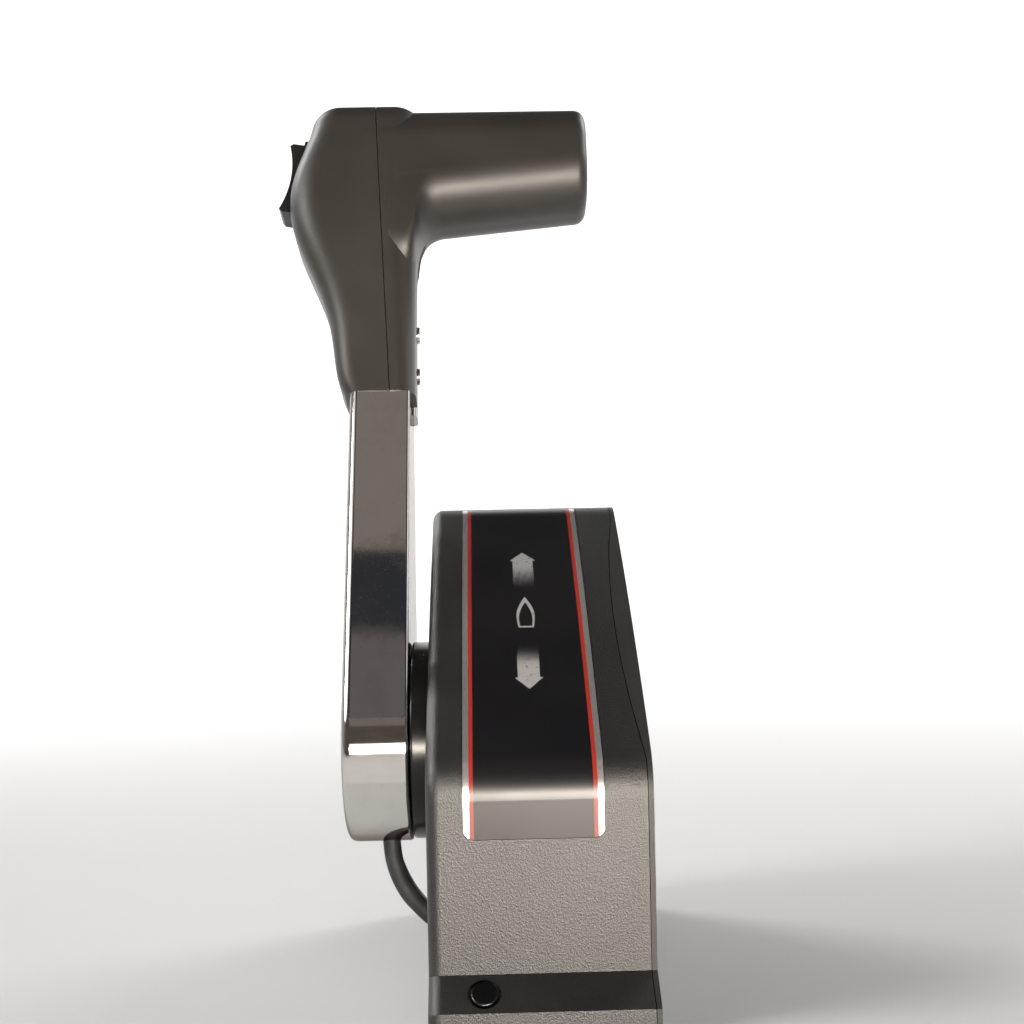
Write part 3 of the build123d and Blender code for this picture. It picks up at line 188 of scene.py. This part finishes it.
class Finish:
    """A material that is built from nodes on the piece's own object coordinates, in millimetres."""

    def __init__(self, name):
        self.material = bpy.data.materials.new(name)
        self.material.use_nodes = True
        self.tree = self.material.node_tree
        self.tree.nodes.clear()
        self.metres = self.node("ShaderNodeTexCoord", {}, {}, "Object")
        self.place = self.node(
            "ShaderNodeVectorMath", {"operation": "SCALE"}, {0: self.metres, "Scale": 1 / MM}
        )
        parts = self.node("ShaderNodeSeparateXYZ", {}, {0: self.place}).socket.node
        self.x, self.y, self.z = [Signal(self, socket) for socket in parts.outputs]

    def node(self, kind, settings, inputs, output=0):
        """Adds a node, whose inputs can be signals, and gives back one of its outputs."""
        plain = {
            name: value.socket if isinstance(value, Signal) else value
            for name, value in inputs.items()
        }
        return Signal(self, add_node(self.tree, kind, settings, plain).outputs[output])

    def noise(self, size, detail=3.0, roughness=0.55, stretch=(1, 1, 1)):
        """Soft variation from 0 to 1, with patches of about that size in millimetres."""
        place = self.node("ShaderNodeMapping", {}, {"Vector": self.place, "Scale": stretch})
        return self.node(
            "ShaderNodeTexNoise",
            {"noise_dimensions": "3D"},
            {"Vector": place, "Scale": 1 / size, "Detail": detail, "Roughness": roughness},
        )

    def cells(self, size):
        """Rounded grains of about that size, 0 in the middle of each."""
        return self.node(
            "ShaderNodeTexVoronoi", {"feature": "F1"}, {"Vector": self.place, "Scale": 1 / size}
        )

    def edges(self, radius):
        """1 on the piece's sharp outer edges and 0 on its open faces."""
        soft = self.node("ShaderNodeBevel", {"samples": 4}, {"Radius": radius * MM})
        true = self.node("ShaderNodeNewGeometry", {}, {}, "Normal")
        match = self.node(
            "ShaderNodeVectorMath", {"operation": "DOT_PRODUCT"}, {0: soft, 1: true}, "Value"
        )
        return (1 - match).ramp(0.02, 0.25)

    def mix(self, share, first, second):
        """A colour between two colours."""
        return self.node(
            "ShaderNodeMix", {"data_type": "RGBA"}, {0: share, 6: first, 7: second}, 2
        )

    def bump(self, height, strength, depth=0.1, under=None):
        """A normal from a height signal, with the relief's depth in millimetres."""
        inputs = {"Height": height, "Strength": strength, "Distance": depth * MM}
        if under is not None:
            inputs["Normal"] = under
        return self.node("ShaderNodeBump", {}, inputs)

    def surface(self, colour, roughness, metallic=0.0, normal=None, **fixed):
        """Joins everything in the shader and gives back the finished material."""
        inputs = {"Base Color": colour, "Roughness": roughness, "Metallic": metallic}
        if normal is not None:
            inputs["Normal"] = normal
        inputs.update({name.replace("_", " "): value for name, value in fixed.items()})
        shader = self.node("ShaderNodeBsdfPrincipled", {}, inputs)
        output = self.tree.nodes.new("ShaderNodeOutputMaterial")
        self.tree.links.new(shader.socket, output.inputs["Surface"])
        return self.material


# ---- finishes ----
def moulded_plastic(name, colour, roughness, grain, depth, dust=0.04, gloss=0.5):
    """Moulded plastic with a spark-eroded grain, random dusty patches, slightly polished high spots
    on the edges, and edges painted lighter, partly as wear and partly as a painted highlight.
    """
    f = Finish(name)
    patches = f.noise(38.0, 2.0)
    fine = f.noise(grain * 0.45, 2.0, 0.7)
    cells = f.cells(grain)
    edges = f.edges(0.7)
    light = tuple(min(1.0, c * 1.5 + dust * 0.2) for c in colour)
    base = f.mix(patches.ramp(0.35, 0.75, 0.0, 0.45), colour, light)
    # sharp edges painted lighter: partly rubbed wear, partly a painted highlight
    base = f.mix(edges * 0.25, base, tuple(min(1.0, c * 2.2 + 0.01) for c in colour))
    height = cells * 0.6 + fine * 0.6
    rough = roughness - 0.10 * edges + 0.08 * (patches - 0.5) + 0.10 * (fine - 0.5)
    return f.surface(base, rough, 0.0, f.bump(height, 0.5, depth), Specular_IOR_Level=gloss)


def plated_steel(name, colour, roughness, direction=(1, 1, 1)):
    """Zinc-plated or bare steel with a faint rolled grain and dull patches."""
    f = Finish(name)
    patches = f.noise(9.0, 4.0)
    lines = f.noise(0.9, 2.0, 0.6, direction)
    edges = f.edges(0.3)
    dull = tuple(c * 0.62 for c in colour)
    base = f.mix(patches.ramp(0.35, 0.72), colour, dull)
    # sharp edges painted brighter: partly rubbed plating, partly a painted highlight
    base = f.mix(edges * 0.5, base, tuple(min(1.0, c * 1.25) for c in colour))
    rough = roughness + 0.16 * (patches - 0.5) + 0.10 * (lines - 0.5) - 0.06 * edges
    return f.surface(base, rough, 1.0, f.bump(lines, 0.25, 0.02))


def chrome_plate():
    """Bright chrome on a polished casting: slight ripple, hairlines and a few dull marks."""
    f = Finish("chrome_plate")
    ripple = f.noise(26.0, 1.0)
    hairs = f.noise(0.5, 2.0, 0.7, (1.0, 1.0, 0.04)).ramp(0.60, 0.72)
    smears = f.noise(11.0, 4.0, 0.6).ramp(0.45, 0.75)
    pits = f.cells(2.6) < 0.055
    base = f.mix(smears * 0.5, (0.76, 0.74, 0.72), (0.66, 0.63, 0.60))
    base = f.mix(pits * 0.7, base, (0.20, 0.16, 0.13))
    rough = 0.045 + 0.05 * smears + 0.05 * hairs + 0.25 * pits
    normal = f.bump(ripple, 0.10, 0.5)
    normal = f.bump(hairs - pits, 0.06, 0.02, normal)
    return f.surface(base, rough, 1.0, normal, Specular_Tint=(0.30, 0.27, 0.25))


def rubber(name):
    """Soft black rubber with a grey bloom and fine grit."""
    f = Finish(name)
    bloom = f.noise(6.0, 3.0)
    grit = f.noise(0.5, 2.0)
    base = f.mix(bloom.ramp(0.4, 0.8), (0.016, 0.016, 0.017), (0.045, 0.044, 0.042))
    return f.surface(base, 0.62 + 0.15 * (bloom - 0.5), 0.0, f.bump(grit, 0.3, 0.05))


def acetal(name, colour):
    """Smooth bearing plastic, a little translucent and waxy."""
    f = Finish(name)
    cloud = f.noise(5.0, 3.0)
    base = f.mix(cloud.ramp(0.4, 0.8), colour, tuple(c * 0.82 for c in colour))
    return f.surface(base, 0.34 + 0.12 * (cloud - 0.5), 0.0, f.bump(cloud, 0.1, 0.05))


# the label's side edges and the middle line of its print, in X
label_left, label_right, label_middle = -57.7, -14.9, -36.0
slope_rise = math.radians(32.6)
slope_foot_y, slope_foot_z = -4.0, 43.6  # a place on the slope


def along_slope(y):
    """Distance along the slope for a place y on its middle line."""
    z = slope_foot_z + (y - slope_foot_y) * math.tan(slope_rise)
    return y * math.cos(slope_rise) + z * math.sin(slope_rise)


def label_print():
    """Satin black label with silver and red stripes, two fading arrows and a boat's outline."""
    f = Finish("label_print")
    along = f.y * math.cos(slope_rise) + f.z * math.sin(slope_rise)
    across = f.x - label_middle
    wide = abs(across)

    # side stripes, by their distances from the label's edge
    silver_start, silver_end, red_end = 0.1, 1.95, 3.25
    inward = (label_right - label_left) / 2 - abs(f.x - (label_left + label_right) / 2)
    silver = (inward < silver_end) & (inward > silver_start)
    red = (inward > silver_end) & (inward < red_end)

    # halftone dots on a diagonal grid, and fine lines, which both thin out towards an arrow's tail
    dot_pitch, line_pitch = 0.62, 0.42
    row = ((along + across) / dot_pitch).fraction() - 0.5
    column = ((along - across) / dot_pitch).fraction() - 0.5
    dots = (row * row + column * column) ** 0.5
    lines = abs((across / line_pitch).fraction() - 0.5) * 1.5
    head_length, head_slope, shaft_start, shaft_half_width = 5.4, 1.15, 4.2, 3.6

    def arrow(tip, tail, pattern):
        """An arrow on the slope, from the tip's to the tail's place along it."""
        way = 1.0 if tip > tail else -1.0
        behind = (tip - along) * way
        length = abs(tip - tail)
        head = (behind > 0) & (behind < head_length) & (wide * head_slope < behind)
        shaft = (behind > shaft_start) & (behind < length) & (wide < shaft_half_width)
        ink = behind.ramp(5.0, length, 0.85, 0.02)
        return head | (shaft & (pattern < ink))

    up = arrow(along_slope(26.0), along_slope(8.2), lines)
    down = arrow(along_slope(-36.6), along_slope(-17.7), dots)

    stern, bow = along_slope(-11.2), along_slope(2.9)
    half_beam, bow_fullness, stern_taper = 3.1, 1.7, 0.55
    fore_share, outline_width, bow_point = 0.6, 0.8, 1.8

    def hull(inset):
        """The boat seen from above: a pointed bow, swelling sides and a straight stern."""
        share = (bow - inset * bow_point - along) / (bow - stern)
        fore = (share / fore_share).clamp()
        aft = ((share - fore_share) / (1 - fore_share)).clamp()
        half = half_beam * (1 - (1 - fore) ** bow_fullness) - stern_taper * aft * aft - inset
        return (wide < half) & (along > stern + inset) & (share > 0)

    boat = hull(0.0) * (1 - hull(outline_width))
    white = (up | down) | boat
    wear = f.noise(1.4, 4.0, 0.7).ramp(0.30, 0.42)
    fine = f.noise(0.25, 2.0)
    base = f.mix(f.noise(30.0, 2.0), (0.003, 0.003, 0.0045), (0.006, 0.0055, 0.006))
    base = f.mix(white * wear, base, (0.25, 0.25, 0.26))
    base = f.mix(red, base, (0.24, 0.020, 0.014))
    base = f.mix(silver, base, (0.62, 0.61, 0.62))
    rough = 0.31 + 0.08 * (f.noise(20.0, 3.0) - 0.5) - 0.06 * silver
    return f.surface(
        base, rough, silver * 0.85, f.bump(fine, 0.12, 0.03), Specular_IOR_Level=0.5
    )


zinc = plated_steel("zinc_plate", (0.62, 0.62, 0.60), 0.34)
steel = plated_steel("turned_steel", (0.54, 0.54, 0.55), 0.24, (0.2, 3, 3))
stainless = plated_steel("stainless_steel", (0.66, 0.65, 0.63), 0.24)
black_oxide = plated_steel("black_oxide", (0.05, 0.05, 0.052), 0.36)
spring_steel = plated_steel("spring_steel", (0.34, 0.34, 0.36), 0.30)
brass = plated_steel("brass", (0.72, 0.52, 0.24), 0.28)
sintered = plated_steel("sintered_steel", (0.30, 0.29, 0.28), 0.48)
black_rubber = rubber("black_rubber")
white_acetal = acetal("white_acetal", (0.72, 0.71, 0.66))
grip_grey = moulded_plastic("grip_grey", (0.021, 0.0185, 0.0165), 0.43, 0.34, 0.04, 0.012, 0.6)
cover_black = moulded_plastic(
    "cover_black", (0.005, 0.0048, 0.0045), 0.40, 0.50, 0.24, 0.02, 0.85
)
case_black = moulded_plastic("case_black", (0.012, 0.0115, 0.011), 0.48, 0.42, 0.12, 0.04)
gloss_black = moulded_plastic("gloss_black", (0.004, 0.004, 0.004), 0.22, 0.8, 0.01, 0.01, 0.4)
rocker_black = moulded_plastic("rocker_black", (0.008, 0.008, 0.009), 0.36, 0.30, 0.04, 0.02)
lead_black = rubber("lead_sleeve")

finishes = {
    cover_black: ["housing_cover"],
    case_black: ["mounting_case"],
    label_print(): ["label_panel"],
    gloss_black: ["hub_plate", "neutral_switch"],
    grip_grey: ["grip_outer_shell", "grip_inner_shell"],
    rocker_black: ["trim_switch_body", "trim_rocker", "lock_trigger", "throttle_only_button"],
    chrome_plate(): ["lever_arm"],
    zinc: [
        "gear_frame", "frame_screws", "friction_screw", "throttle_crank", "shift_arm", "hub_screws"
    ],
    steel: ["main_shaft", "arm_pivot_pin", "rocker_pin", "lock_rod", "lock_pin"],
    stainless: ["cover_screws", "grip_screws"],
    black_oxide: ["lower_screw"],
    spring_steel: [
        "pivot_clip", "shaft_ring", "detent_spring", "friction_band", "button_spring", "lock_spring"
    ],
    brass: ["frame_bush", "detent_rivet", "throttle_cable_pin", "shift_cable_pin"],
    sintered: ["drive_gear"],
    white_acetal: ["shaft_bush", "detent_wheel", "rod_guide"],
    black_rubber: ["lead_grommet", "cable_grommets", "harness_grommet"],
    lead_black: ["trim_lead"],
}
for material, names in finishes.items():
    for name in names:
        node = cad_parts[name]
        node.data.materials.clear()
        node.data.materials.append(material)

# ---- trim lead: a sleeve over three wires, from the lever's hub into the housing ----
lead_route = [
    (-83, -8.4, -26), (-83, -8.8, -36), (-80.2, -10.4, -45.5), (-74.5, -12.6, -53.5),
    (-61.7, -14.7, -64),
]
lead_radius = 3.0
sleeve_start = 0.10  # share of the route where the sleeve begins and the wires come out
strand_points = 48
wire_radius, wire_orbit = 0.85, 1.1
wire_colours = (
    ("wire_tan", 0.4, (0.50, 0.27, 0.13)),
    ("wire_blue", 2.5, (0.05, 0.09, 0.22)),
    ("wire_grey", 4.6, (0.42, 0.40, 0.37)),
)


def route_curve(name, route):
    """A smooth curve through the space that the route's points lead through."""
    data = bpy.data.curves.new(name, "CURVE")
    data.dimensions = "3D"
    data.resolution_u = 24
    spline = data.splines.new("NURBS")
    spline.points.add(len(route) - 1)
    for point, place in zip(spline.points, route):
        point.co = (*(v * MM for v in place), 1.0)
    spline.use_endpoint_u = True
    spline.order_u = 3
    return add_object(name, data)


def points_along(name, route, start):
    """The points of a route's smooth line from a share of its length on, and their length."""
    curve = route_curve(name, route)
    places = [v.co.copy() for v in bpy.data.meshes.new_from_object(curve).vertices]
    bpy.data.objects.remove(curve)
    runs = [(b - a).length for a, b in zip(places, places[1:])]
    skip, passed = start * sum(runs), 0.0
    while passed + runs[0] < skip:
        passed += runs.pop(0)
        places.pop(0)
    places[0] = places[0].lerp(places[1], (skip - passed) / runs[0])
    return places, sum((b - a).length for a, b in zip(places, places[1:]))


def plain_mesh(made, name):
    """The evaluated object's shape as a plain mesh object, in place of the object itself."""
    bpy.context.view_layer.update()
    evaluated = made.evaluated_get(bpy.context.evaluated_depsgraph_get())
    data = bpy.data.meshes.new_from_object(evaluated)
    data.name = name
    bpy.data.objects.remove(made)
    return add_object(name, data)


class Build:
    """A Geometry Nodes tree with named inputs. It ends in Realize Instances and Set Material."""

    def __init__(self, name, inputs):
        self.tree = bpy.data.node_groups.new(name, "GeometryNodeTree")
        for label, kind in [("Geometry", "Geometry"), *inputs]:
            self.tree.interface.new_socket(label, in_out="INPUT", socket_type="NodeSocket" + kind)
        self.tree.interface.new_socket(
            "Geometry", in_out="OUTPUT", socket_type="NodeSocketGeometry"
        )
        self.start = self.tree.nodes.new("NodeGroupInput")

    def given(self, label):
        return self.start.outputs[label]

    def node(self, kind, settings, inputs, output=0):
        return add_node(self.tree, kind, settings, inputs).outputs[output]

    def end(self, geometry):
        real = self.node("GeometryNodeRealizeInstances", {}, {"Geometry": geometry})
        dressed = self.node(
            "GeometryNodeSetMaterial", {}, {"Geometry": real, "Material": self.given("Finish")}
        )
        output = self.tree.nodes.new("NodeGroupOutput")
        self.tree.links.new(dressed, output.inputs[0])

    def apply(self, carrier, name, smooth=True, **values):
        """Runs the tree on an object and gives back its result as a plain mesh piece."""
        modifier = carrier.modifiers.new("build", "NODES")
        modifier.node_group = self.tree
        for item in self.tree.interface.items_tree:
            value = values.get(item.name.replace(" ", "_"))
            if item.in_out == "INPUT" and value is not None:
                modifier[item.identifier] = value
        piece = plain_mesh(carrier, name)
        for face in piece.data.polygons:
            face.use_smooth = smooth
        return piece


def wound_strand():
    """A round strand that winds about its curve, between two shares of the curve's length."""
    b = Build(
        "wound_strand",
        [("Radius", "Float"), ("Orbit", "Float"), ("Turns", "Float"), ("Phase", "Float"),
         ("From", "Float"), ("To", "Float"), ("Points", "Int"), ("Finish", "Material")],
    )

    def maths(operation, first, second=0.0):
        return b.node("ShaderNodeMath", {"operation": operation}, {0: first, 1: second})

    def scaled(vector, amount):
        return b.node("ShaderNodeVectorMath", {"operation": "SCALE"}, {0: vector, "Scale": amount})

    part = b.node(
        "GeometryNodeTrimCurve", {"mode": "FACTOR"},
        {"Curve": b.given("Geometry"), "Start": b.given("From"), "End": b.given("To")},
    )
    points = b.node(
        "GeometryNodeResampleCurve", {"mode": "COUNT"}, {"Curve": part, "Count": b.given("Points")}
    )
    share = b.node("GeometryNodeSplineParameter", {}, {}, "Factor")
    turn = maths("MULTIPLY", maths("MULTIPLY", share, b.given("Turns")), 2 * math.pi)
    turn = maths("ADD", turn, b.given("Phase"))
    normal = b.node("GeometryNodeInputNormal", {}, {})
    tangent = b.node("GeometryNodeInputTangent", {}, {})
    side = b.node("ShaderNodeVectorMath", {"operation": "CROSS_PRODUCT"}, {0: tangent, 1: normal})
    out = b.node(
        "ShaderNodeVectorMath", {"operation": "ADD"},
        {0: scaled(normal, maths("COSINE", turn)), 1: scaled(side, maths("SINE", turn))},
    )
    moved = b.node(
        "GeometryNodeSetPosition", {}, {"Geometry": points, "Offset": scaled(out, b.given("Orbit"))}
    )
    ring = b.node(
        "GeometryNodeCurvePrimitiveCircle", {}, {"Resolution": 14, "Radius": b.given("Radius")}
    )
    tube = b.node(
        "GeometryNodeCurveToMesh", {}, {"Curve": moved, "Profile Curve": ring, "Fill Caps": True}
    )
    b.end(tube)
    return b


def wire_finish(name, colour):
    """Coloured plastic of a wire or a seam, with grime."""
    f = Finish(name)
    grime = f.noise(3.0, 3.0)
    base = f.mix(grime.ramp(0.4, 0.8), colour, tuple(c * 0.55 for c in colour))
    return f.surface(base, 0.42 + 0.1 * (grime - 0.5), 0.0, f.bump(grime, 0.1, 0.03))


def join_pieces(first, *others):
    """Joins plain mesh pieces into the first."""
    mesh = bmesh.new()
    mesh.from_mesh(first.data)
    for other in others:
        slot = len(first.data.materials)
        first.data.materials.append(other.data.materials[0])
        before = len(mesh.faces)
        mesh.from_mesh(other.data)
        mesh.faces.ensure_lookup_table()
        for face in mesh.faces[before:]:
            face.material_index = slot
        bpy.data.objects.remove(other)
    mesh.to_mesh(first.data)
    mesh.free()
    return first


strand = wound_strand()
sleeve = strand.apply(
    route_curve("lead_line", lead_route), "lead_sleeve",
    Radius=lead_radius * MM, Orbit=0.0, Turns=0.0, Phase=0.0, From=sleeve_start, To=1.0,
    Points=strand_points, Finish=lead_black,
)
wires = [
    strand.apply(
        route_curve("wire_line", lead_route), name,
        Radius=wire_radius * MM, Orbit=wire_orbit * MM, Turns=0.5, Phase=phase,
        From=0.0, To=0.3, Points=strand_points, Finish=wire_finish(name, colour),
    )
    for name, phase, colour in wire_colours
]
# the seam along the sleeve, half sunk in its surface
wires.append(strand.apply(
    route_curve("tie_line", lead_route), "tie_strand",
    Radius=0.45 * MM, Orbit=lead_radius * MM, Turns=0.35, Phase=2.6,
    From=sleeve_start, To=0.93, Points=strand_points,
    Finish=wire_finish("sleeve_seam", (0.16, 0.15, 0.14)),
))
lead_wires = join_pieces(*wires)
lead_wires.name = "lead_wires"
for piece in (sleeve, lead_wires):
    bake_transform(piece)
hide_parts("trim_lead")
lead_path, lead_length = points_along("lead_path", lead_route, sleeve_start)


# ---- compression springs: under the lock pin's guide and behind the throttle-only button ----
lever_lean = math.radians(17.0)
lock_rod_x = -82.0
lock_spring_low, lock_spring_high = 31.3, 62.0  # from the shaft along the lever


def on_lever(along):
    """A place on the lock rod's line, by its distance from the shaft along the lever."""
    return (lock_rod_x, along * math.sin(lever_lean), along * math.cos(lever_lean))


def coil_spring(name, low, high, radius, wire, turns):
    """A coil between two places, in millimetres, with its wire inside their distance."""
    inset = (Vector(high) - Vector(low)).normalized() * wire
    low, high = Vector(low) + inset, Vector(high) - inset
    coil = strand.apply(
        route_curve(name + "_line", [low, (low + high) / 2, high]), name, Radius=wire * MM,
        Orbit=radius * MM, Turns=turns, Phase=0.0, From=0.0, To=1.0, Points=24 * turns,
        Finish=spring_steel,
    )
    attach(coil, "control_lever")
    return coil


guide_seat = on_lever(lock_spring_high)
lock_coil = coil_spring(
    "lock_coil", on_lever(lock_spring_low), guide_seat, radius=2.9, wire=0.5, turns=7
)
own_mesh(lock_coil)
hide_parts("lock_spring")
spring_low, spring_high = (corner[0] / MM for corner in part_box("button_spring"))
button_coil = coil_spring(
    "button_coil", (spring_low, 0, 0), (spring_high, 0, 0), radius=4.4, wire=0.45, turns=3
)
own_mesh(button_coil)
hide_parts("button_spring")


# ---- cross-head screws that hold the two case halves, on the mounting face ----
cover_screw_places = [(-1.4, -50, -37), (-1.4, 62, -37), (-1.4, 62, 44), (-1.4, -38, 5)]


def cross_head_screws():
    """A pan-head screw with a crossed recess on each point of a mesh, with its head towards +X."""
    b = Build(
        "cross_head_screws",
        [("Head Radius", "Float"), ("Head Height", "Float"), ("Shank Radius", "Float"),
         ("Length", "Float"), ("Slot Width", "Float"), ("Finish", "Material")],
    )

    def times(value, amount):
        return b.node("ShaderNodeMath", {"operation": "MULTIPLY"}, {0: value, 1: amount})

    def vector(x, y, z):
        return b.node("ShaderNodeCombineXYZ", {}, {"X": x, "Y": y, "Z": z})

    radius, height, slot = b.given("Head Radius"), b.given("Head Height"), b.given("Slot Width")
    head = b.node(
        "GeometryNodeMeshCone", {},
        {
            "Vertices": 40, "Radius Top": times(radius, 0.8), "Radius Bottom": radius,
            "Depth": height,
        },
    )
    span, depth = times(radius, 1.15), times(height, 0.7)
    for size in (vector(span, slot, depth), vector(slot, span, depth)):
        bar = b.node("GeometryNodeMeshCube", {}, {"Size": size})
        raised = b.node(
            "GeometryNodeTransform", {}, {"Geometry": bar, "Translation": vector(0.0, 0.0, height)}
        )
        head = b.node(
            "GeometryNodeMeshBoolean", {"operation": "DIFFERENCE"},
            {"Mesh 1": head, "Mesh 2": raised},
        )
    shank = b.node(
        "GeometryNodeMeshCylinder", {},
        {"Vertices": 24, "Radius": b.given("Shank Radius"), "Depth": b.given("Length")},
    )
    sunk = b.node(
        "GeometryNodeTransform", {},
        {"Geometry": shank, "Translation": vector(0.0, 0.0, times(b.given("Length"), -0.5))},
    )
    screw = b.node("GeometryNodeJoinGeometry", {}, {0: head})
    b.tree.links.new(sunk, screw.node.inputs[0])
    b.end(b.node(
        "GeometryNodeInstanceOnPoints", {},
        {"Points": b.given("Geometry"), "Instance": screw, "Rotation": (0.0, math.pi / 2, 0.0)},
    ))
    return b


def points_mesh(name, places):
    """An object with a vertex at each place, in millimetres."""
    data = bpy.data.meshes.new(name)
    data.from_pydata([tuple(v * MM for v in place) for place in places], [], [])
    return add_object(name, data)


screws = cross_head_screws()
cover_set = screws.apply(
    points_mesh("cover_screw_places", cover_screw_places), "cover_screw_set", smooth=False,
    Head_Radius=3.8 * MM, Head_Height=1.4 * MM, Shank_Radius=2.0 * MM, Length=22.0 * MM,
    Slot_Width=1.1 * MM, Finish=stainless,
)
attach(cover_set, "housing")
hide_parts("cover_screws")


# ---- stage ----
def round_stage():
    """Pale round floor that curves up into a wall, which is highest behind the control, with
    painted shade that turns it dark brown towards the front.
    """
    below_control = 0.0002  # a gap, so that the floor and the control's bottom don't coincide
    floor_z = cad_box[0][2] - below_control
    reach, curve, low_wall, high_wall, wall_swell = 2.0, 0.6, 1.4, 1.7, 0.7
    steps, turns = 16, 96
    mesh = bmesh.new()
    rings = []
    for i in range(turns):
        angle = 2 * math.pi * i / turns
        wall = low_wall + (high_wall - low_wall) * (0.5 + 0.5 * math.sin(angle)) ** wall_swell
        line = [(reach - curve, 0.0)]
        for step in range(1, steps + 1):
            bend = math.pi / 2 * step / steps
            line.append((reach - curve + curve * math.sin(bend), curve * (1 - math.cos(bend))))
        line.append((reach, wall))
        rings.append([
            mesh.verts.new((r * math.cos(angle), r * math.sin(angle), floor_z + z)) for r, z in line
        ])
    for one, other in zip(rings, rings[1:] + rings[:1]):
        for j in range(len(one) - 1):
            mesh.faces.new((one[j], one[j + 1], other[j + 1], other[j]))
    mesh.faces.new([ring[0] for ring in rings])
    data = bpy.data.meshes.new("studio_floor")
    mesh.to_mesh(data)
    mesh.free()
    for face in data.polygons:
        face.use_smooth = True
    floor = add_object("studio_floor", data)
    f = Finish("studio_paper")
    cloud = f.noise(400.0, 2.0)
    paper = f.mix(cloud, (0.62, 0.62, 0.62), (0.65, 0.65, 0.645))
    # painted shade: the paper turns dark brown towards the front and stays pale, like a pool of
    # light, about and behind the control
    paper = f.mix(f.y.ramp(-1400, 0), (0.27, 0.235, 0.21), paper)
    data.materials.append(f.surface(paper, 0.9, 0.0, f.bump(f.noise(1.5), 0.05, 0.1)))


round_stage()


# ---- lights ----
def soft_box(name, place, aim, width, height, power, colour, spread=180):
    """A rectangular soft light at a place, turned towards another."""
    data = bpy.data.lights.new(name, "AREA")
    data.shape = "RECTANGLE"
    data.size, data.size_y = width, height
    data.energy = power
    data.color = colour
    data.spread = math.radians(spread)
    light = add_object(name, data)
    light.location = place
    light.rotation_euler = (Vector(aim) - Vector(place)).to_track_quat("-Z", "Y").to_euler()


soft_box("low_front", (0.22, -1.3, -0.04), (0, 0, -0.04), 1.0, 0.16, 5.4, (1.0, 0.90, 0.78), 60)
soft_box("uplight", (0.15, -0.75, -0.06), (0, 0.04, 0.2), 0.9, 0.3, 1.3, (1.0, 0.92, 0.82), 60)
soft_box("high_left", (-1.3, -0.7, 1.2), (0, 0, 0.1), 0.9, 0.9, 0.3, (1.0, 0.97, 0.93), 60)
soft_box("high_right", (1.2, -0.1, 1.0), (0, 0, 0.1), 0.7, 0.9, 0.2, (1.0, 0.98, 0.96), 60)
soft_box("wall_left", (-0.95, 0.75, 1.1), (-0.15, 2.0, 0.1), 0.4, 0.8, 27.0, (1.0, 1.0, 1.0))
soft_box("wall_right", (0.95, 0.75, 1.1), (0.15, 2.0, 0.1), 0.4, 0.8, 27.0, (1.0, 1.0, 1.0))
soft_box("floor_before", (-1.2, -0.4, 0.7), (0, -0.3, -0.08), 0.5, 0.5, 1.6, (1.0, 0.97, 0.93), 50)
# panels that the lever's polished face mirrors, one above the other with a dark gap between
soft_box("upper_panel", (-0.1, -0.95, 1.49), (-0.09, 0, 0.08), 0.9, 0.36, 0.19, (1.0, 0.84, 0.72))
soft_box("lower_panel", (-0.1, -1.41, 1.03), (-0.09, 0, 0.05), 0.9, 0.70, 0.20, (1.0, 0.84, 0.76))

world = bpy.data.worlds.new("studio")
bpy.context.scene.world = world
world.use_nodes = True
backdrop = world.node_tree.nodes["Background"]
backdrop.inputs["Color"].default_value = (0.60, 0.64, 0.74, 1.0)
backdrop.inputs["Strength"].default_value = 0.05
bpy.context.scene.view_settings.view_transform = "Standard"
